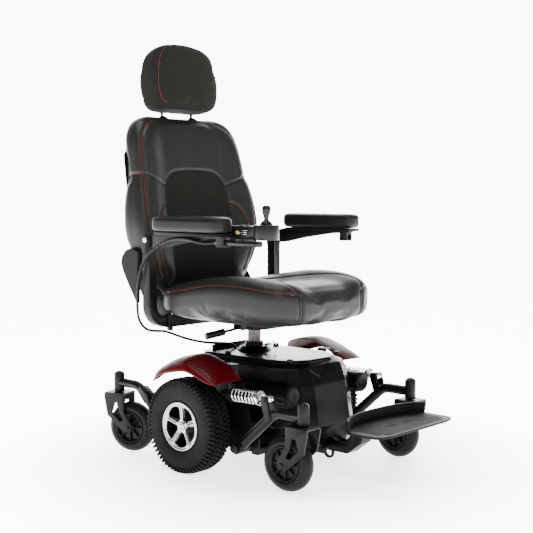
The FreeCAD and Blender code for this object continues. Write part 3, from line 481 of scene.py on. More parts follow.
for hand, sign in (("right", -1), ("left", 1)):
    low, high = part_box("drive_tyre_" + hand)
    centre = np.array([(low.x + high.x) / 2, axle_y, tyre_radius])
    body = "drive_wheel_" + hand
    face = rim_face("rim_spokes_" + hand, centre, sign)
    lip = turned_profile("rim_lip_" + hand, smooth_profile(
        [(sign * 0.0285, 0.0610), (sign * 0.0335, 0.0625), (sign * 0.0345, 0.0672), (sign * 0.0290, 0.0678),
         (sign * 0.026, 0.0655), (sign * 0.024, 0.0615)], 0.0016, 4), centre, (1, 0, 0), rim_alloy)
    barrel = turned_profile("rim_barrel_" + hand, smooth_profile(
        [(sign * 0.028, 0.0640), (sign * -0.030, 0.0640), (sign * -0.030, 0.0667), (sign * 0.028, 0.0667)],
        0.001, 3),
        centre, (1, 0, 0), rim_black)
    well = turned_profile("rim_well_" + hand, [(sign * 0.016, 0.0150), (sign * -0.004, 0.024),
                                               (sign * -0.008, 0.050),
                                               (sign * -0.004, 0.0638), (sign * -0.007, 0.0638),
                                               (sign * -0.012, 0.050),
                                               (sign * -0.008, 0.022), (sign * 0.013, 0.0125)], centre,
                                               (1, 0, 0), rim_black)
    cap = turned_profile("rim_cap_" + hand, smooth_profile(
        [(sign * 0.018, 0.0002), (sign * 0.0318, 0.0002), (sign * 0.0310, 0.0070), (sign * 0.0295, 0.0080),
         (sign * 0.0300, 0.0105), (sign * 0.0290, 0.0130), (sign * 0.018, 0.0130)], 0.0008, 4), centre,
         (1, 0, 0), rim_alloy, 64)
    for piece in (face, outward(lip), outward(barrel), outward(well), outward(cap)):
        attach(piece, body)
    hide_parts("drive_rim_" + hand)


# ---------------------------------------------------------------------------
# Casters: solid smooth tyres with a rounded tread on black moulded hubs with
# eight ribs a side; each turns on a bolt in its fork.
caster_rubber, tree, shader = new_material("caster_rubber", (0.0038, 0.0037, 0.0036), 0.50, specular=0.07)
texture = noise_on(tree, 60.0)
vary(tree, shader, "Roughness", texture, 0.3, 0.36, 0.75, 0.58)
bump_from(tree, shader, noise_on(tree, 500.0).outputs["Fac"], 0.0003, 0.3)
hub_plastic, tree, shader = new_material("hub_plastic", (0.0030, 0.0030, 0.0029), 0.36, specular=0.09)
texture = noise_on(tree, 260.0)
vary(tree, shader, "Roughness", texture, 0.3, 0.26, 0.75, 0.44)
bump_from(tree, shader, texture.outputs["Fac"], 0.0003, 0.3)
bright_steel, tree, shader = new_material("bright_steel", (0.66, 0.66, 0.65), 0.2, 1.0)
texture = noise_on(tree, 350.0)
vary(tree, shader, "Roughness", texture, 0.2, 0.14, 0.8, 0.28)
bump_from(tree, shader, texture.outputs["Fac"], 0.0002, 0.2)


def node_points(name):
    """Vertices of a CAD node as an array, in the row frame."""
    mesh = nodes[name].data
    points = np.zeros(len(mesh.vertices) * 3)
    mesh.vertices.foreach_get("co", points)
    return points.reshape(-1, 3)


def hub_face(name, centre, axle, sign, radius, half):
    """One side of a caster hub: grid of radius by angle whose height falls from boss to rim, with
    eight ribs standing from a dished web."""
    rows, columns = 30, 192
    share = np.linspace(0.12, 1.0, rows)[:, None]
    angle = np.linspace(0, 2 * np.pi, columns, endpoint=False)[None, :]
    boss = 1 / (1 + np.exp((share - 0.34) / 0.018))
    rim = 1 / (1 + np.exp((0.90 - share) / 0.014))
    away = np.abs(((angle * 8 / (2 * np.pi) + 0.5) % 1) - 0.5) * 2 * np.pi / 8 * share * radius
    rib = 1 / (1 + np.exp((away - 0.0021) / 0.0004))
    floor_level = 0.40 * half
    level = floor_level + (half * 0.94 - floor_level) * np.maximum(np.maximum(boss, rim),
        rib * (0.92 - 0.25 * share))
    up = np.array([0.0, 0.0, 1.0])
    across = np.cross(up, axle)
    points = (centre + sign * level[..., None] * axle + (share * radius * np.cos(angle))[..., None] * across
              + (share * radius * np.sin(angle))[..., None] * up)
    return grid_object(name, points, hub_plastic, wrap_columns=True)


for place in ("front_right", "front_left", "rear_right", "rear_left"):
    points = node_points("caster_tyre_" + place)
    centre = (points.min(0) + points.max(0)) / 2
    flat = points - centre
    values, vectors = np.linalg.eigh(flat[:, :2].T @ flat[:, :2])
    axle = np.array([vectors[0, 0], vectors[1, 0], 0.0])
    if axle[0] < 0:
        axle = -axle
    radius = (points[:, 2].max() - points[:, 2].min()) / 2
    half = np.abs(flat @ axle).max()
    hub_radius = 0.047
    tyre = turned_profile("caster_tyre_" + place, smooth_profile(
        [(-half * 0.86, hub_radius - 0.001), (half * 0.86, hub_radius - 0.001), (half, hub_radius + 0.006),
         (half * 0.98, radius - 0.016), (half * 0.66, radius - 0.0035), (0, radius + 0.0008),
         (-half * 0.66, radius - 0.0035), (-half * 0.98, radius - 0.016), (-half, hub_radius + 0.006)],
        0.007, 6), centre, axle, caster_rubber, 128)
    rim = turned_profile("caster_hub_rim_" + place, smooth_profile(
        [(-half * 0.80, hub_radius - 0.0045), (half * 0.80, hub_radius - 0.0045),
         (half * 0.86, hub_radius - 0.0006),
         (-half * 0.86, hub_radius - 0.0006)], 0.001, 3), centre, axle, hub_plastic)
    pieces = [outward(tyre), outward(rim)]
    for sign, side in ((-1, "inner"), (1, "outer")):
        face = hub_face("caster_hub_%s_%s" % (side, place), centre, axle, sign, hub_radius - 0.001, half)
        add_modifier(face, "SOLIDIFY", thickness=0.002, offset=0.0)
        pieces.append(face)
        pieces.append(outward(turned_profile("caster_bearing_%s_%s" % (side, place), smooth_profile(
            [(sign * half * 0.5, 0.0052), (sign * half * 0.97, 0.0052), (sign * half * 0.97, 0.0092),
             (sign * half * 0.9, 0.0100), (sign * half * 0.5, 0.0100)], 0.0006, 3), centre, axle,
             bright_steel, 48)))
    for piece in pieces:
        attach(piece, "caster_wheel_" + place)
    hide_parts("caster_tyre_" + place)
    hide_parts("caster_hub_" + place)


# ---------------------------------------------------------------------------
# Steel parts: frame, arms, forks, brackets and levers, welded up and powder coated black;
# each is the part itself with its edges eased as the coating leaves them.
powder_coat, tree, shader = new_material("powder_coat", (0.0028, 0.0027, 0.0025), 0.38, specular=0.09)
texture = noise_on(tree, 700.0, 3.0)
vary(tree, shader, "Roughness", noise_on(tree, 12.0), 0.3, 0.30, 0.75, 0.44)
bump_from(tree, shader, texture.outputs["Fac"], 0.0004, 0.35)


def finished_copy(node, body, material, ease=0.0012, segments=2, name=None, angle=32):
    """The part's own shape with its edges eased: the facets of one flat are joined, then each edge
    sharper than the angle is rounded."""
    mesh = nodes[node].data.copy()
    work = bmesh.new()
    work.from_mesh(mesh)
    bmesh.ops.remove_doubles(work, verts=work.verts, dist=2e-5)
    bmesh.ops.dissolve_limit(work, angle_limit=math.radians(1.0), verts=work.verts, edges=work.edges)
    work.to_mesh(mesh)
    work.free()
    mesh.materials.clear()
    mesh.materials.append(material)
    mesh.polygons.foreach_set("use_smooth", [True] * len(mesh.polygons))
    obj = bpy.data.objects.new(name or node + "_finished", mesh)
    scene.collection.objects.link(obj)
    if ease:
        add_modifier(obj, "BEVEL", width=ease, segments=segments, limit_method="ANGLE",
                     angle_limit=math.radians(angle), harden_normals=True, use_clamp_overlap=True)
    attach(obj, body)
    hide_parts(node)
    return obj


for place in ("front_right", "front_left", "rear_right", "rear_left"):
    finished_copy("caster_fork_" + place, "caster_fork_" + place, powder_coat, 0.002, 3)
for hand in ("right", "left"):
    finished_copy("front_arm_" + hand, "front_arm_" + hand, powder_coat, 0.002, 3)
    finished_copy("rear_arm_" + hand, "rear_arm_" + hand, powder_coat, 0.002, 3)
    finished_copy("shock_body_" + hand, "shock_body_" + hand, powder_coat, 0.0008)
    finished_copy("shock_rod_" + hand, "shock_rod_" + hand, bright_steel, 0.0006)
finished_copy("main_frame", "base", powder_coat, 0.0015)
finished_copy("footplate_bracket", "base", powder_coat, 0.0015)
finished_copy("pivot_bolts", "base", powder_coat, 0.0006)
finished_copy("seat_frame", "seat", powder_coat, 0.0015)
finished_copy("swivel_lever", "swivel_lever", powder_coat, 0.001)
finished_copy("recline_lever", "recline_lever", powder_coat, 0.001)
finished_copy("armrest_posts", "seat", powder_coat, 0.001)
finished_copy("armrest_bar_right", "armrest_right", powder_coat, 0.001)
finished_copy("armrest_bar_left", "armrest_left", powder_coat, 0.001)

# Battery cases and drive motors, hidden under the hood but for what shows between the arms.
battery_case, tree, shader = new_material("battery_case", (0.0045, 0.0045, 0.0045), 0.5, specular=0.06)
bump_from(tree, shader, noise_on(tree, 300.0).outputs["Fac"], 0.0004, 0.4)
motor_casing, tree, shader = new_material("motor_casing", (0.0045, 0.0045, 0.0045), 0.45, specular=0.06)
bump_from(tree, shader, noise_on(tree, 200.0).outputs["Fac"], 0.0006, 0.5)
finished_copy("batteries", "base", battery_case, 0.003)
finished_copy("drive_motors", "base", motor_casing, 0.0015)
finished_copy("power_module", "base", motor_casing, 0.0015)


# ---------------------------------------------------------------------------
# Shock springs: chromed coil springs on the shock bodies.
for hand in ("right", "left"):
    points = node_points("shock_spring_" + hand)
    middle = (points.min(0) + points.max(0)) / 2
    rear_eye = at(0, -101, 228)
    clevis = at(0, -255, 231)
    axis = (clevis - rear_eye) / np.linalg.norm(clevis - rear_eye)
    rear_eye[0] = middle[0]
    along = np.linspace(0.0325, 0.1195, 7 * 32 + 1)
    turns = 7.0
    coil_radius, wire_radius = 0.0165, 0.0021
    share = (along - along[0]) / (along[-1] - along[0])
    turn = 2 * np.pi * turns * share
    side = np.array([1.0, 0.0, 0.0])
    other = np.cross(axis, side)
    coil = rear_eye + along[:, None] * axis + coil_radius * (np.cos(turn)[:, None] * side
                                                             + np.sin(turn)[:, None] * other)
    spring = outward(tube_along("shock_spring_coil_" + hand, coil, wire_radius, bright_steel, 10))
    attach(spring, "shock_body_" + hand)
    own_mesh(spring)
    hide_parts("shock_spring_" + hand)


# ---------------------------------------------------------------------------
# Hood and belly pan: moulded in black plastic with a satin grain. The hood's lid is a separate
# flat panel held by knurled knobs; a finger notch is pressed into the front under it.
hood_plastic, tree, shader = new_material("hood_plastic", (0.0026, 0.0025, 0.0023), 0.34, specular=0.045)
grain = noise_on(tree, 900.0, 2.0)
vary(tree, shader, "Roughness", noise_on(tree, 9.0), 0.3, 0.24, 0.75, 0.36)
bump_from(tree, shader, grain.outputs["Fac"], 0.00025, 0.35)


def base_outline(side, front, rear):
    """Plan outline of the base in millimetres with its edges moved in and kept parallel."""
    half = [(0, -296), (72, -289), (106, -274), (132, -246), (147, -204), (147, 118), (121, 146), (0, 146)]
    corners = half[1:-1] + [(-x, y) for x, y in reversed(half[1:-1])]
    lines = []
    for (x0, y0), (x1, y1) in zip(corners, corners[1:] + corners[:1]):
        length = math.hypot(x1 - x0, y1 - y0)
        nx, ny = (y1 - y0) / length, -(x1 - x0) / length
        lines.append((nx, ny, nx * x0 + ny * y0 - side * abs(nx) - (front if ny < 0 else rear) * abs(ny)))
    moved = []
    for (ax, ay, a), (bx, by, b) in zip(lines[-1:] + lines[:-1], lines):
        scale = ax * by - ay * bx
        moved.append(((a * by - ay * b) / scale, (ax * b - a * bx) / scale))
    return moved


def base_ring(side, front, rear, rounding=3.0, run=56):
    """One level of the hood: the outline with rounded corners and evenly spaced points along its edges."""
    outline = smooth_profile(base_outline(side, front, rear), rounding, 5)
    result = []
    for i in range(len(outline)):
        start, end = outline[i], outline[(i + 1) % len(outline)]
        steps = run if i % 5 == 4 else 1
        for t in np.linspace(0, 1, steps, endpoint=False):
            result.append(start + (end - start) * t)
    return np.array(result)


def groove_along(points, line, depth, width):
    """How far each point sinks for a groove that follows a line: a gaussian of the distance to it."""
    line = np.asarray(line, float)
    best = np.full(len(points), 1e9)
    for start, end in zip(line[:-1], line[1:]):
        along = end - start
        share = np.clip(((points - start) @ along) / (along @ along), 0, 1)
        gap = np.linalg.norm(points - (start + share[:, None] * along), axis=1)
        best = np.minimum(best, gap)
    return depth * np.exp(-(best / width) ** 2)


def between(value, low, high, soft):
    """1 between low and high, 0 outside, with soft shoulders."""
    return 1 / (1 + np.exp(-(value - low) / soft)) / (1 + np.exp((value - high) / soft))


levels = ([(z, 2 * (z - 128) / 118, 18 * (z - 128) / 118, 4 * (z - 128) / 118) for z in np.linspace(128.4,
    246, 22)]
          + [(z, 2 + 2 * (z - 246) / 46, 18 + 16 * (z - 246) / 46, 4 + 4 * (z - 246) / 46)
             for z in np.linspace(248, 291, 30)]
          + [(293.5, 4.8, 35, 8.8), (295.4, 7, 37, 10.5), (296.6, 10, 39.5, 12), (299.6, 18, 45, 14.5),
             (300, 20, 47, 15.3),
             (299.0, 21, 48, 15.8), (297.0, 21.5, 48.5, 16.0), (297.0, 23.5, 50.5, 17.2),
             (299.0, 24, 51, 17.5),
             (305.0, 24.3, 51.4, 17.8), (307.6, 25.2, 52.6, 18.6), (309.3, 27.5, 55, 21), (310, 31, 59, 25)])
rows = []
for z, side, front, rear in levels:
    ring = base_ring(side, front, rear)
    rows.append(np.column_stack([ring, np.full(len(ring), z)]))
for share in (0.9, 0.7, 0.4, 0.1):
    rows.append((rows[len(levels) - 1] - (0, -60, 310)) * (share, share, 1) + (0, -60, 310))
hood_points = np.array(rows)
flat = hood_points.reshape(-1, 3)
notch = groove_along(flat, [(-92, -262, 299), (-62, -268, 279), (-32, -272, 262), (-4, -268, 281),
                            (28, -262, 300)], 3.2, 2.4)
inside_notch = (between(flat[:, 0], -92 + (300 - flat[:, 2]) * 1.7, 28 - (300 - flat[:, 2]) * 1.6, 2.0)
                * between(flat[:, 2], 262, 296, 1.5) * (flat[:, 1] < -230))
flat[:, 1] += notch + 3.0 * inside_notch
panel = between(flat[:, 1], -222, 96, 1.0) * between(flat[:, 2], 256, 290, 0.6)
flat[:, 0] -= np.sign(flat[:, 0]) * 1.8 * panel * (np.abs(flat[:, 0]) > 125)
hood_row = flat.reshape(hood_points.shape) / 1000.0
hood_row[..., 1] += axle_y
count = hood_row.shape[1]
hood_faces = [tuple(f) for f in grid_faces(len(hood_row), count, wrap_columns=True)]
hood_faces.append(tuple(range((len(hood_row) - 1) * count, len(hood_row) * count)))
hood = mesh_object("hood", hood_row.reshape(-1, 3), hood_faces, hood_plastic)
outward(hood)
lid_plastic, tree, shader = new_material("lid_plastic", (0.0028, 0.0027, 0.0025), 0.27, specular=0.16)
bump_from(tree, shader, noise_on(tree, 900.0, 2.0).outputs["Fac"], 0.0002, 0.3)
hood.data.materials.append(lid_plastic)
for face in hood.data.polygons:
    face.material_index = int(face.center.z > 0.3095)
add_modifier(hood, "SOLIDIFY", thickness=0.003, offset=-1.0)
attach(hood, "base")
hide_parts("top_cover")

# The rounded cheeks along the hood's sides, each a tube end with a turned-in cap.
for hand, sign in (("right", -1), ("left", 1)):
    outline = smooth_profile([(-0.1400, 0.0001), (-0.1400, 0.0225), (-0.1385, 0.0240), (-0.1400, 0.0262),
                              (-0.1345, 0.0290),
                              (0.0150, 0.0290), (0.0800, 0.0200), (0.0860, 0.0001)], 0.002, 4)
    cheek = turned_profile("hood_cheek_" + hand, outline, at(sign * 155, -130, 226), (0, 1, 0),
                           hood_plastic, 64)
    outward(cheek)
    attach(cheek, "base")

# Raised rib across the rear of the lid, with a slanted face.
ridge_profile = smooth_profile([(86, 308), (113, 308), (118, 322), (108, 324.5)], 3.0, 4)
ridge_x = np.array([-80, -79, -76, 76, 79, 80], float)
ridge_size = np.array([0.2, 0.8, 1.0, 1.0, 0.8, 0.2])
ridge_middle = ridge_profile.mean(0)
ridge_points = np.array([[at(x, *(ridge_middle + size * (p - ridge_middle))) for p in ridge_profile]
                         for x, size in zip(ridge_x, ridge_size)])
ridge = outward(grid_object("lid_ridge", ridge_points, hood_plastic, wrap_columns=True, cap=True))
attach(ridge, "base")
finished_copy("belly_pan", "base", hood_plastic, 0.003, 3)

# Knurled knobs that hold the lid down.
knob_plastic, tree, shader = new_material("knob_plastic", (0.0035, 0.0035, 0.0035), 0.4, specular=0.12)
bump_from(tree, shader, noise_on(tree, 400.0).outputs["Fac"], 0.0003, 0.4)
turn = np.linspace(0, 2 * np.pi, 96, endpoint=False)
for i, (x, y) in enumerate([(-105, 22), (105, 22), (-105, -215), (105, -215)]):
    profile = [(309.4, 6.5), (310.5, 8.6), (311.2, 9.0), (315.5, 9.0), (316.7, 8.4), (317.1, 6.8),
               (316.6, 5.5), (316.6, 0.05)]
    points = []
    for z, r in profile:
        flute = 0.35 if r > 8.3 else 0
        radii = r - flute * (1 + np.cos(24 * turn)) / 2
        points.append([at(x + radius * np.cos(a), y + radius * np.sin(a), z) for radius,
                       a in zip(radii, turn)])
    points = np.array(points)
    knob = outward(grid_object("lid_knob_%d" % (i + 1), points, knob_plastic, wrap_columns=True, cap=True))
    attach(knob, "base")
    if i == 0:
        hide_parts("lid_knobs")


# ---------------------------------------------------------------------------
# Fenders: injection moulded shells in candy red under a thick clear coat, one over each drive
# wheel, fixed to the frame by the bracket under them.
candy_red, tree, shader = new_material("candy_red", (0.06, 0.0004, 0.0020), 0.42, specular=0.05, coat=0.07,
                                       coat_roughness=0.10)
flake = noise_on(tree, 1400.0, 2.0)
vary(tree, shader, "Base Color", flake, 0.35, (0.026, 0.0001, 0.0009), 0.7, (0.052, 0.0003, 0.0020))
bump_from(tree, shader, noise_on(tree, 14.0).outputs["Fac"], 0.0004, 0.25)


def through(keys, share):
    """Smooth curve through evenly spaced keys (Catmull-Rom), read at shares from 0 to 1."""
    keys = np.asarray(keys, float)
    padded = np.concatenate([2 * keys[:1] - keys[1:2], keys, 2 * keys[-1:] - keys[-2:-1]])
    place = np.clip(np.asarray(share, float), 0, 1) * (len(keys) - 1)
    i = np.minimum(place.astype(int), len(keys) - 2)
    t = (place - i).reshape((-1,) + (1,) * (keys.ndim - 1))
    a, b, c, d = padded[i], padded[i + 1], padded[i + 2], padded[i + 3]
    return 0.5 * (2 * b + (c - a) * t + (2 * a - 5 * b + 4 * c - d) * t ** 2
                  + (3 * b - a - 3 * c + d) * t ** 3)


inner_edge = [(-288, 127, 246), (-254, 104, 276), (-222, 72, 305), (-215, 30, 320), (-214, -15, 323),
              (-214, -55, 314),
              (-214, -88, 301), (-214, -116, 285), (-216, -138, 267)]
ridge_line = [(-297, 126, 248), (-274, 100, 284), (-250, 58, 312), (-240, 18, 324), (-238, -20, 328),
              (-237, -56, 317),
              (-236, -90, 303), (-236, -118, 288), (-238, -142, 268)]
outer_edge = [(-308, 119, 244), (-323, 88, 264), (-329, 46, 278), (-330, 5, 287), (-330, -27, 291),
              (-330, -60, 285),
              (-330, -90, 275), (-329, -114, 268), (-322, -136, 264)]
share = np.linspace(0, 1, 72)
inner_at, ridge_at, outer_at = through(inner_edge, share), through(ridge_line, share), through(outer_edge,
    share)
for hand, sign in (("right", 1), ("left", -1)):
    rows = []
    for u in np.linspace(0, 1, 12, endpoint=False):
        point = inner_at + (ridge_at - inner_at) * u
        point[:, 2] = inner_at[:, 2] + (ridge_at[:, 2] - inner_at[:, 2]) * np.sin(u * np.pi / 2)
        rows.append(point)
    for turn in np.linspace(0, np.pi / 2, 26):
        point = ridge_at + (outer_at - ridge_at) * (1 - np.cos(turn))
        point[:, 0] = ridge_at[:, 0] + (outer_at[:, 0] - ridge_at[:, 0]) * np.sin(turn)
        rows.append(point)
    rows.append(outer_at + np.array([1.5, 0, -2.0]))
    rows.append(outer_at + np.array([5.0, 0, -1.6]))
    points = np.array(rows)
    points[..., 0] *= sign
    points = points / 1000.0
    points[..., 1] += axle_y
    fender = grid_object("fender_" + hand, points, candy_red)
    work = bmesh.new()
    work.from_mesh(fender.data)
    if sum(f.normal.z * f.calc_area() for f in work.faces) < 0:
        bmesh.ops.reverse_faces(work, faces=work.faces)
    work.to_mesh(fender.data)
    work.free()
    add_modifier(fender, "SOLIDIFY", thickness=0.0026, offset=-1.0)
    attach(fender, "base")
    if hand == "right":
        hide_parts("fenders")
    foot = np.array([[at(-sign * x, y, z) for x, z in ((190, 247), (190, 303), (216, 303), (216, 300),
                                                       (194, 300), (194, 247))]
                     for y in (-104, -72)])
    stay = outward(grid_object("fender_stay_" + hand, foot, powder_coat, wrap_columns=True, cap=True))
    stay.data.polygons.foreach_set("use_smooth", [False] * len(stay.data.polygons))
    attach(stay, "base")


# ---------------------------------------------------------------------------
# Footplate: moulded tread plate with low anti-slip ribs, on a steel bracket.
tread_plastic, tree, shader = new_material("tread_plastic", (0.0036, 0.0036, 0.0034), 0.55, specular=0.06)
bump_from(tree, shader, noise_on(tree, 500.0).outputs["Fac"], 0.0004, 0.5)
finished_copy("footplate", "footplate", tread_plastic, 0.0015, 3)
for i, y in enumerate(np.linspace(-560, -456, 14)):
    half = 150.0 if y > -548 else 130.0
    if y > -470:
        half = 120.0
    line = np.array([at(x, y, 163.0) for x in np.linspace(-half, half, 9)])
    rib = outward(tube_along("footplate_rib_%02d" % (i + 1), line, 0.0011, tread_plastic, 8))
    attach(rib, "footplate")


# ---------------------------------------------------------------------------
# Seat column: grey steel tube with a worn brushed finish.
post_steel, tree, shader = new_material("post_steel", (0.08, 0.07, 0.065), 0.45, 0.6, specular=0.3)
texture = noise_on(tree, 70.0, 8.0, 0.7)
vary(tree, shader, "Base Color", texture, 0.3, (0.030, 0.020, 0.018), 0.7, (0.20, 0.165, 0.15))
bump_from(tree, shader, noise_on(tree, 500.0).outputs["Fac"], 0.0005, 0.5)
finished_copy("seat_post", "seat", post_steel, 0.001)
for z in (344, 356, 368):
    band = outward(turned_profile("seat_post_band_%d" % z, smooth_profile(
        [(-0.0016, 0.0185), (0.0016, 0.0185), (0.0012, 0.0197), (-0.0012, 0.0197)], 0.0004, 3),
        at(0, 15, z), (0, 0, 1),
        post_steel, 64))
    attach(band, "seat")
eye = outward(turned_profile("lock_bolt_eye", smooth_profile(
    [(-0.002, 0.0060), (0.002, 0.0060), (0.002, 0.0095), (-0.002, 0.0095)], 0.0012, 4), at(30, -38, 331),
    (0.6, -0.5, 0.6),
    bright_steel, 48))
shank = outward(tube_along("lock_bolt_shank", [at(18, -12, 326), at(25, -30, 330)], 0.0035, bright_steel, 16))
for piece in (eye, shank):
    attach(piece, "base")


# ---------------------------------------------------------------------------
# Upholstery materials: soft grained vinyl with dark red thread, and a matte woven centre panel.
vinyl, tree, shader = new_material("vinyl", (0.0068, 0.0065, 0.0059), 0.42, specular=0.13)
leather = noise_on(tree, 420.0, kind="ShaderNodeTexVoronoi")
broad = noise_on(tree, 10.0, 3.0)
vary(tree, shader, "Roughness", broad, 0.3, 0.36, 0.75, 0.48)
bump_from(tree, shader, leather.outputs["Distance"], 0.00035, 0.35)
bump_from(tree, shader, broad.outputs["Fac"], 0.004, 0.25)
panel_fabric, tree, shader = new_material("panel_fabric", (0.0060, 0.0057, 0.0050), 0.85, specular=0.04,
                                          sheen=0.01)
weave = noise_on(tree, 1300.0, 2.0)
vary(tree, shader, "Base Color", weave, 0.35, (0.0046, 0.0044, 0.0038), 0.7, (0.0078, 0.0075, 0.0066))
bump_from(tree, shader, weave.outputs["Fac"], 0.0006, 0.5)
red_thread, tree, shader = new_material("red_thread", (0.060, 0.004, 0.007), 0.6, specular=0.2)
thread_noise = noise_on(tree, 900.0)
vary(tree, shader, "Base Color", thread_noise, 0.3, (0.038, 0.0028, 0.0045), 0.75, (0.085, 0.006, 0.010))
dark_piping, tree, shader = new_material("dark_piping", (0.003, 0.003, 0.003), 0.6, specular=0.15)
bump_from(tree, shader, noise_on(tree, 700.0).outputs["Fac"], 0.0003, 0.4)


def power(value, exponent):
    return np.sign(value) * np.abs(value) ** exponent


def smooth_step(value, low, high):
    t = np.clip((value - low) / (high - low), 0, 1)
    return t * t * (3 - 2 * t)


def surface_of(obj):
    """Search tree of an object's own mesh, for laying seams on it."""
    mesh = obj.data
    return BVHTree.FromPolygons([v.co for v in mesh.vertices], [p.vertices for p in mesh.polygons])


def laid_on(obj, line, lift=0.0, count=160):
    """A polyline resampled evenly as a smooth curve and dropped on the nearest surface of an object."""
    tree_of = surface_of(obj)
    curve = through(np.asarray(line, float), np.linspace(0, 1, count))
    result = []
    for point in curve:
        place, normal = tree_of.find_nearest(Vector(point))[:2]
        result.append(np.array(place) + lift * np.array(normal))
    result = np.array(result)
    for i in range(3):
        result[1:-1] = 0.25 * result[:-2] + 0.5 * result[1:-1] + 0.25 * result[2:]
    return result


def press_seams(obj, lines, depth=0.0030, width=0.0045):
    """Sink the surface along seams: each vertex moves inwards by a gaussian of its distance to the
    nearest seam."""
    mesh = obj.data
    points = np.zeros(len(mesh.vertices) * 3)
    mesh.vertices.foreach_get("co", points)
    points = points.reshape(-1, 3)
    normals = np.zeros(len(mesh.vertices) * 3)
    mesh.vertices.foreach_get("normal", normals)
    normals = normals.reshape(-1, 3)
    best = np.full(len(points), 1e9)
    for line in lines:
        for start in range(0, len(line), 40):
            part = line[start:start + 40]
            gap = np.linalg.norm(points[:, None, :] - part[None], axis=2).min(1)
            best = np.minimum(best, gap)
    points -= normals * (depth * np.exp(-(best / width) ** 2))[:, None]
    mesh.vertices.foreach_set("co", points.reshape(-1))
    mesh.update()


def stitched(name, line, material, body, radius):
    """Thread or piping laid along a seam as a thin tube."""
    tube = outward(tube_along(name, line, radius, material, 8))
    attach(tube, body)
    return tube


def apply_modifiers(obj):
    """Bake the modifier stack into the mesh."""
    bpy.context.view_layer.update()
    evaluated = obj.evaluated_get(bpy.context.evaluated_depsgraph_get())
    mesh = bpy.data.meshes.new_from_object(evaluated)
    obj.modifiers.clear()
    obj.data = mesh
    return obj


def settle_cloth(obj, voxel=0.006, pressure=4.0, move=0.003):
    """Blow the cover up over its foam: remesh evenly, let cloth under a little pressure settle, and
    keep every vertex within a set distance of where it started."""
    add_modifier(obj, "REMESH", mode="VOXEL", voxel_size=voxel, use_smooth_shade=True)
    apply_modifiers(obj)
    start = np.zeros(len(obj.data.vertices) * 3)
    obj.data.vertices.foreach_get("co", start)
    cloth = obj.modifiers.new("cloth", "CLOTH")
    cloth.settings.use_pressure = True
    cloth.settings.uniform_pressure_force = pressure
    cloth.settings.quality = 4
    cloth.settings.mass = 0.4
    cloth.settings.tension_stiffness = 30
    cloth.settings.compression_stiffness = 30
    cloth.settings.shear_stiffness = 12
    cloth.settings.bending_stiffness = 3.0
    cloth.settings.shrink_min = -0.015
    cloth.settings.effector_weights.gravity = 0.0
    cloth.point_cache.frame_start = 1
    cloth.point_cache.frame_end = 14
    for number in range(1, 15):
        scene.frame_set(number)
    evaluated = obj.evaluated_get(bpy.context.evaluated_depsgraph_get())
    moved = np.zeros(len(start))
    evaluated.data.vertices.foreach_get("co", moved)
    obj.modifiers.clear()
    shift = (moved - start).reshape(-1, 3)
    size = np.linalg.norm(shift, axis=1)[:, None]
    shift = shift * np.minimum(1.0, move / np.maximum(size, 1e-9))
    obj.data.vertices.foreach_set("co", start + shift.reshape(-1))
    obj.data.update()
    scene.frame_set(1)
    return obj


# ---------------------------------------------------------------------------
# Seat cushion: thick moulded foam under vinyl, with raised sides, a dip in the middle and a
# front that rolls down over the edge; it lies on the pan and is held by its hem.
seat_keys = np.array([
    # y, half width, bottom, top of the sides, top of the middle
    (-280, 122, 440, 478, 474), (-275, 156, 424, 507, 497), (-257, 192, 416, 528, 511),
    (-208, 220, 412, 541, 518),
    (-150, 232, 411, 548, 517), (-90, 238, 411, 549, 511), (-30, 240, 411, 545, 506),
    (30, 240, 411, 536, 501),
    (90, 238, 412, 525, 497), (140, 232, 415, 515, 497), (172, 216, 420, 508, 494), (190, 196, 430, 498, 488),
    (196, 178, 444, 484, 478)], float)


def seat_section(values, count=128):
    """Closed section of the seat across X at one Y: a rounded box whose top dips between the bolsters."""
    y, half, bottom, side_top, middle_top = values
    angle = np.linspace(0, 2 * np.pi, count, endpoint=False)
    x = half * power(np.cos(angle), 0.46)
    rise = power(np.sin(angle), 0.50)
    dip = smooth_step(np.abs(x) / half, 0.36, 0.80)
    top = middle_top + (side_top - middle_top) * dip
    z = bottom + (top - bottom) * (1 + rise) / 2
    hem = 2.2 * np.sin(x / 17.0 + y / 21.0) * np.clip(-rise, 0, 1)
    return np.column_stack([x, np.full(count, y), z + hem])


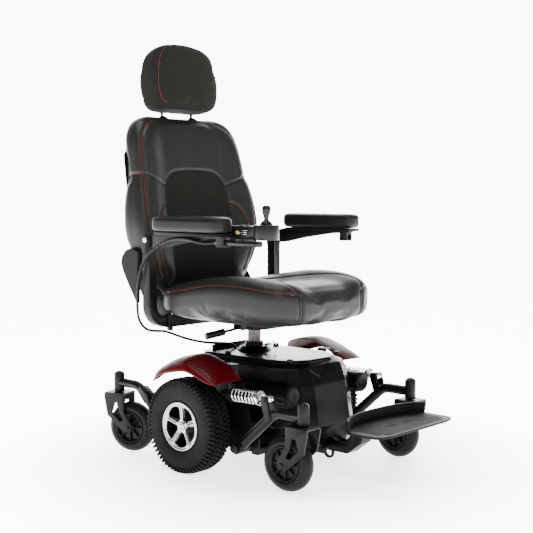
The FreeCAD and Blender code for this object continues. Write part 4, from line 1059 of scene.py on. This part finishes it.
seat_rows = [seat_section(values) for values in through(seat_keys, np.linspace(0, 1, 110))]
seat_points = np.array(seat_rows)
seat_points[..., 1] += 6.0 * (1 - (seat_points[..., 0] / 130.0) ** 2) * np.exp(-((seat_points[..., 1]
    + 284) / 30) ** 2) * -0.6
seat_points /= 1000.0
seat_points[..., 1] += axle_y
seat = outward(grid_object("seat_cushion_cover", seat_points, vinyl, wrap_columns=True, cap=True))
settle_cloth(seat)
add_modifier(seat, "SUBSURF", levels=1, render_levels=1)
apply_modifiers(seat)
seat_lines = {}
for hand, sign in (("right", -1), ("left", 1)):
    seat_lines["seat_side_seam_" + hand] = [at(sign * 236, 160, 491), at(sign * 241, 110, 499),
                                            at(sign * 243, 30, 516),
                                            at(sign * 244, -50, 529), at(sign * 243, -120, 533),
                                            at(sign * 236, -185, 529),
                                            at(sign * 214, -235, 518), at(sign * 178, -264, 508),
                                            at(sign * 142, -279, 499)]
    seat_lines["seat_front_seam_" + hand] = [at(sign * 142, -280, 497), at(sign * 142, -284, 480),
                                             at(sign * 140, -284, 460),
                                             at(sign * 140, -278, 440), at(sign * 142, -258, 424)]
    seat_lines["seat_front_seam_inner_" + hand] = [at(sign * 131, -282, 497), at(sign * 130, -286, 480),
                                                   at(sign * 129, -286, 460), at(sign * 129, -280, 440),
                                                   at(sign * 131, -260, 423)]
    seat_lines["seat_bolster_seam_" + hand] = [at(sign * 118, 150, 500), at(sign * 128, 80, 505),
                                               at(sign * 136, 0, 513),
                                               at(sign * 142, -80, 522), at(sign * 146, -150, 527),
                                               at(sign * 150, -200, 527),
                                               at(sign * 150, -235, 521), at(sign * 146, -262, 510),
                                               at(sign * 142, -279, 499)]
laid = {name: laid_on(seat, line) for name, line in seat_lines.items()}
press_seams(seat, list(laid.values()), 0.0030, 0.0042)
for name, line in laid.items():
    line = laid_on(seat, line[::8], 0.0004)
    stitched(name, line, red_thread if "side" in name or "bolster" in name else dark_piping, "seat", 0.0009)
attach(seat, "seat")
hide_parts("seat_cushion")


# ---------------------------------------------------------------------------
# Backrest: foam wings round a dished centre panel of darker woven fabric, in a vinyl cover
# closed by a gusset down each side; it stands in front of the moulded shell.
lean = math.radians(-10.0)
pivot_y, pivot_z = 236.0, 476.0


def leaned(points):
    """Turn points given with the back upright, in millimetres, to its resting angle, into the frame."""
    points = np.array(points, float)
    y, z = points[..., 1] - pivot_y, points[..., 2] - pivot_z
    turned = np.empty_like(points)
    turned[..., 0] = points[..., 0]
    turned[..., 1] = pivot_y + y * math.cos(lean) - z * math.sin(lean)
    turned[..., 2] = pivot_z + y * math.sin(lean) + z * math.cos(lean)
    turned /= 1000.0
    turned[..., 1] += axle_y
    return turned


back_keys = np.array([
    # height, half width, front, rear, how far the wings reach forward
    (462, 120, 238, 262, 0), (470, 154, 228, 272, 2), (492, 178, 218, 282, 6), (540, 210, 208, 293, 16),
    (600, 238, 203, 300, 30), (670, 251, 203, 302, 37), (740, 247, 205, 300, 39), (795, 236, 206, 296, 36),
    (822, 226, 206, 294, 33), (870, 221, 206, 290, 30), (920, 217, 207, 286, 24), (960, 209, 209, 281, 16),
    (990, 192, 213, 273, 8), (1006, 168, 220, 264, 3), (1014, 138, 230, 253, 0)], float)


def back_section(values, count=144):
    """Closed plan section of the back at one height: rounded ends, wings that come forward."""
    z, half, front, rear, wing = values
    angle = np.linspace(0, 2 * np.pi, count, endpoint=False)
    x = half * power(np.cos(angle), 0.42)
    reach = power(np.sin(angle), 0.55)
    forward = front - wing * smooth_step(np.abs(x) / half, 0.48, 0.90)
    y = rear + (forward - rear) * (1 + reach) / 2
    return np.column_stack([x, y, np.full(count, z)])


back_rows = np.array([back_section(values) for values in through(back_keys, np.linspace(0, 1, 150))])
back = outward(grid_object("back_cushion_cover", leaned(back_rows), vinyl, wrap_columns=True, cap=True))
settle_cloth(back)
add_modifier(back, "SUBSURF", levels=1, render_levels=1)
apply_modifiers(back)
panel_line = [(-126, 190, 500), (-130, 190, 600), (-134, 190, 680), (-131, 190, 750), (-122, 190, 800),
              (-98, 190, 832),
              (-60, 190, 842), (0, 190, 844), (60, 190, 842), (98, 190, 832), (122, 190, 800),
              (131, 190, 750),
              (134, 190, 680), (130, 190, 600), (126, 190, 500)]
back_lines = {"back_panel_seam": (panel_line, dark_piping)}
for hand, sign in (("right", -1), ("left", 1)):
    back_lines["back_wing_seam_" + hand] = ([(sign * 236, 180, 832), (sign * 210, 170, 826),
                                             (sign * 175, 175, 812),
                                             (sign * 124, 190, 795)], dark_piping)
    back_lines["back_side_seam_" + hand] = ([(sign * 130, 205, 1008), (sign * 176, 205, 975),
                                             (sign * 208, 195, 930),
                                             (sign * 228, 180, 875), (sign * 236, 172, 800),
                                             (sign * 236, 168, 720),
                                             (sign * 228, 168, 640), (sign * 212, 176, 570),
                                             (sign * 190, 195, 510)],
                                            red_thread)
    back_lines["back_gusset_seam_" + hand] = ([(sign * 236, 182, 832), (sign * 242, 205, 834),
                                               (sign * 242, 235, 835),
                                               (sign * 238, 266, 835)], red_thread)
    back_lines["back_bolster_seam_" + hand] = ([(sign * 128, 195, 745), (sign * 160, 185, 728),
                                                (sign * 182, 175, 690),
                                                (sign * 190, 175, 640), (sign * 186, 180, 580),
                                                (sign * 170, 190, 520)],
                                               red_thread)
laid = {name: laid_on(back, leaned(line), count=220) for name, (line, _) in back_lines.items()}
press_seams(back, list(laid.values()), 0.0032, 0.0045)
for name, line in laid.items():
    line = laid_on(back, line[::8], 0.0004, 220)
    stitched(name, line, back_lines[name][1], "backrest", 0.0009)
back.data.materials.append(panel_fabric)
points = np.zeros(len(back.data.polygons) * 3)
back.data.polygons.foreach_get("center", points)
points = points.reshape(-1, 3)
y = points[:, 1] * 1000 - axle_y * 1000 - pivot_y
z = points[:, 2] * 1000 - pivot_z
upright_y = pivot_y + y * math.cos(-lean) - z * math.sin(-lean)
upright_z = pivot_z + y * math.sin(-lean) + z * math.cos(-lean)
outline = np.array(panel_line)
width_at = np.interp(upright_z, outline[7:, 2][::-1], outline[7:, 0][::-1])
in_panel = (np.abs(points[:, 0]) * 1000 < width_at) & (upright_y < 232) & (upright_z < 844)
back.data.polygons.foreach_set("material_index", in_panel.astype(int))
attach(back, "backrest")
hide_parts("back_cushion")
shell_plastic, tree, shader = new_material("shell_plastic", (0.0036, 0.0036, 0.0034), 0.5, specular=0.08)
bump_from(tree, shader, noise_on(tree, 600.0).outputs["Fac"], 0.0004, 0.4)
finished_copy("back_shell", "backrest", shell_plastic, 0.003, 3)


housing_outline = [(216, 600), (233, 614), (255, 616), (270, 615), (292, 598), (299, 579), (293, 551),
                   (276, 509),
                   (251, 453)]
housing = outward(grid_object("recline_housing", np.array([leaned([(x, y, z) for y, z in housing_outline])
                                                           for x in (-243, -258)]), shell_plastic,
                                                           wrap_columns=True, cap=True))
housing.data.polygons.foreach_set("use_smooth", [False] * len(housing.data.polygons))
add_modifier(housing, "BEVEL", width=0.003, segments=3)
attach(housing, "backrest")


# ---------------------------------------------------------------------------
# Headrest: deep D-shaped foam block with a fabric front and vinyl sides, on two steel posts.
head_keys = np.array([
    # height, half width, front, rear
    (1034, 94, 188, 252), (1037, 106, 180, 264), (1045, 116, 175, 271), (1060, 125, 170, 274),
    (1090, 132, 167, 273),
    (1120, 134, 165, 270), (1150, 131, 164, 266), (1180, 124, 165, 258), (1198, 116, 167, 250),
    (1212, 103, 171, 243),
    (1224, 84, 177, 236), (1231, 60, 184, 229), (1235, 34, 192, 222)], float)


def head_section(values, count=112):
    """Closed plan section of the headrest at one height: a rounded box bowed at the front."""
    z, half, front, rear = values
    angle = np.linspace(0, 2 * np.pi, count, endpoint=False)
    x = half * power(np.cos(angle), 0.36)
    reach = power(np.sin(angle), 0.42)
    y = rear + (front + 6 * (x / half) ** 2 - rear) * (1 + reach) / 2
    return np.column_stack([x, y, np.full(count, z)])


head_rows = np.array([head_section(values) for values in through(head_keys, np.linspace(0, 1, 90))])
head = outward(grid_object("headrest_cover", leaned(head_rows), panel_fabric, wrap_columns=True, cap=True))
settle_cloth(head, 0.005)
add_modifier(head, "SUBSURF", levels=1, render_levels=1)
apply_modifiers(head)
head_line = {}
for hand, sign in (("right", -1), ("left", 1)):
    head_line["headrest_piping_" + hand] = [(sign * 100, 176, 1042), (sign * 120, 177, 1058),
                                            (sign * 128, 176, 1092),
                                            (sign * 125, 175, 1128), (sign * 118, 176, 1162),
                                            (sign * 104, 178, 1192),
                                            (sign * 78, 184, 1216), (sign * 36, 196, 1232)]
laid = {name: laid_on(head, leaned(line)) for name, line in head_line.items()}
press_seams(head, list(laid.values()), 0.0022, 0.0036)
for name, line in laid.items():
    stitched(name, laid_on(head, line[::8], 0.0005), red_thread, "headrest", 0.0011)
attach(head, "headrest")
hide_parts("headrest_cushion")
finished_copy("headrest_posts", "headrest", bright_steel, 0.0004)
for hand, sign in (("right", -1), ("left", 1)):
    direction = leaned([[0, pivot_y, 1100]])[0] - leaned([[0, pivot_y, 1000]])[0]
    guide = outward(turned_profile("headrest_guide_" + hand, smooth_profile(
        [(0, 0.0054), (0, 0.017), (0.003, 0.0175), (0.010, 0.0095), (0.011, 0.0054)], 0.0012, 4),
        leaned([[sign * 62, 250, 1010]])[0], direction, shell_plastic, 48))
    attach(guide, "backrest")


# ---------------------------------------------------------------------------
# Armrest pads: skinned polyurethane foam, rounded at the ends, screwed to the tapered bars.
pad_foam, tree, shader = new_material("pad_foam", (0.0045, 0.0044, 0.0040), 0.45, specular=0.10)
skin = noise_on(tree, 500.0)
vary(tree, shader, "Roughness", noise_on(tree, 14.0), 0.3, 0.33, 0.75, 0.47)
bump_from(tree, shader, skin.outputs["Fac"], 0.0003, 0.4)
for hand, sign in (("right", -1), ("left", 1)):
    low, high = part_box("armrest_pad_" + hand)
    centre_x, centre_y, half_long = (low.x + high.x) / 2, (low.y + high.y) / 2, (high.y - low.y) / 2
    rows = []
    for along in np.sin(np.linspace(-np.pi / 2, np.pi / 2, 60)):
        wide = 0.0335 * max(1 - abs(along) ** 9, 1e-6) ** 0.34
        thick = 0.0226 * max(1 - abs(along) ** 16, 1e-6) ** 0.28
        angle = np.linspace(0, 2 * np.pi, 72, endpoint=False)
        x = wide * power(np.cos(angle), 0.50)
        z = thick * power(np.sin(angle), 0.50)
        z = np.where(z > 0, z * (1.0 - 0.10 * (x / 0.0335) ** 2), z)
        rows.append(np.column_stack([centre_x + x, np.full(72, centre_y + along * half_long),
                                     (low.z + high.z) / 2 + z]))
    pad = outward(grid_object("armrest_pad_cover_" + hand, np.array(rows), pad_foam, wrap_columns=True,
                              cap=True))
    add_modifier(pad, "SUBSURF", levels=1, render_levels=1)
    apply_modifiers(pad)
    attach(pad, "armrest_" + hand)
    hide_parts("armrest_pad_" + hand)
    for place, x, y, z, radius, body in (("hinge_outer", 288, 176, 640, 0.0075, "seat"),
                                         ("hinge_inner", 248, 176, 640, 0.0075, "seat")):
        facing = 1 if x > 268 else -1
        head_bolt = outward(turned_profile("arm_%s_bolt_%s" % (place, hand), smooth_profile(
            [(-0.005, 0.0001), (-0.005, radius), (-0.0008, radius), (0.0012, radius * 0.7),
             (0.0012, radius * 0.5),
             (-0.0006, radius * 0.42), (-0.0006, 0.0001)], 0.0006, 3), at(sign * x, y, z),
             (sign * facing, 0, 0), bright_steel, 40))
        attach(head_bolt, body)


# ---------------------------------------------------------------------------
# Hand controller: slim moulded case with a round head, a pleated rubber boot under the stick,
# two rubber buttons behind it, and a small brass rosette beside three bright inlays.
controller_plastic, tree, shader = new_material("controller_plastic", (0.0032, 0.0032, 0.0030), 0.32,
                                                specular=0.14)
bump_from(tree, shader, noise_on(tree, 800.0).outputs["Fac"], 0.0002, 0.3)
boot_rubber, tree, shader = new_material("boot_rubber", (0.0030, 0.0030, 0.0029), 0.45, specular=0.10)
bump_from(tree, shader, noise_on(tree, 400.0).outputs["Fac"], 0.0003, 0.4)
button_plastic, tree, shader = new_material("button_plastic", (0.012, 0.012, 0.013), 0.45, specular=0.3)
bump_from(tree, shader, noise_on(tree, 500.0).outputs["Fac"], 0.0002, 0.4)
brass, tree, shader = new_material("brass", (0.80, 0.56, 0.22), 0.28, 1.0)
bump_from(tree, shader, noise_on(tree, 300.0).outputs["Fac"], 0.0002, 0.3)
finished_copy("controller_housing", "armrest_right", controller_plastic, 0.0022, 3)
finished_copy("joystick_gimbal", "joystick_gimbal", boot_rubber, 0.0005)
finished_copy("joystick_stick", "joystick_stick", controller_plastic, 0.0008, 3)
low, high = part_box("joystick_stick")
stick_x, stick_y = (low.x + high.x) / 2, (low.y + high.y) / 2
knob = outward(turned_profile("joystick_knob", smooth_profile(
    [(-0.046, 0.0001), (-0.046, 0.0062), (-0.030, 0.0068), (-0.020, 0.0108), (-0.009, 0.0122),
     (-0.002, 0.0096),
     (0.0, 0.0040), (0.0, 0.0001)], 0.004, 5), (stick_x, stick_y, high.z), (0, 0, 1), controller_plastic, 64))
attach(knob, "joystick_stick")
finished_copy("power_button", "power_button", button_plastic, 0.0008)
finished_copy("horn_button", "horn_button", button_plastic, 0.0008)
rosette = outward(turned_profile("controller_rosette", smooth_profile(
    [(0, 0.0001), (0, 0.0062), (0.0012, 0.0058), (0.0012, 0.0046), (0.0006, 0.0042), (0.0012, 0.0036),
     (0.0018, 0.0001)],
    0.0003, 3), at(-245.0, -150, 669), (-1, 0, 0), brass, 48))
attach(rosette, "armrest_right")
for i, z in enumerate((674.5, 669.5, 664.5)):
    points = np.array([[at(-245.0 - out, y, z + up) for out,
                        up in ((-0.5, -0.9), (0.6, -0.6), (0.6, 0.6), (-0.5, 0.9))]
                       for y in (-162, -184 + 1.5 * i)])
    inlay = outward(grid_object("controller_inlay_%d" % (i + 1), points, bright_steel, wrap_columns=True,
                                cap=True))
    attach(inlay, "armrest_right")
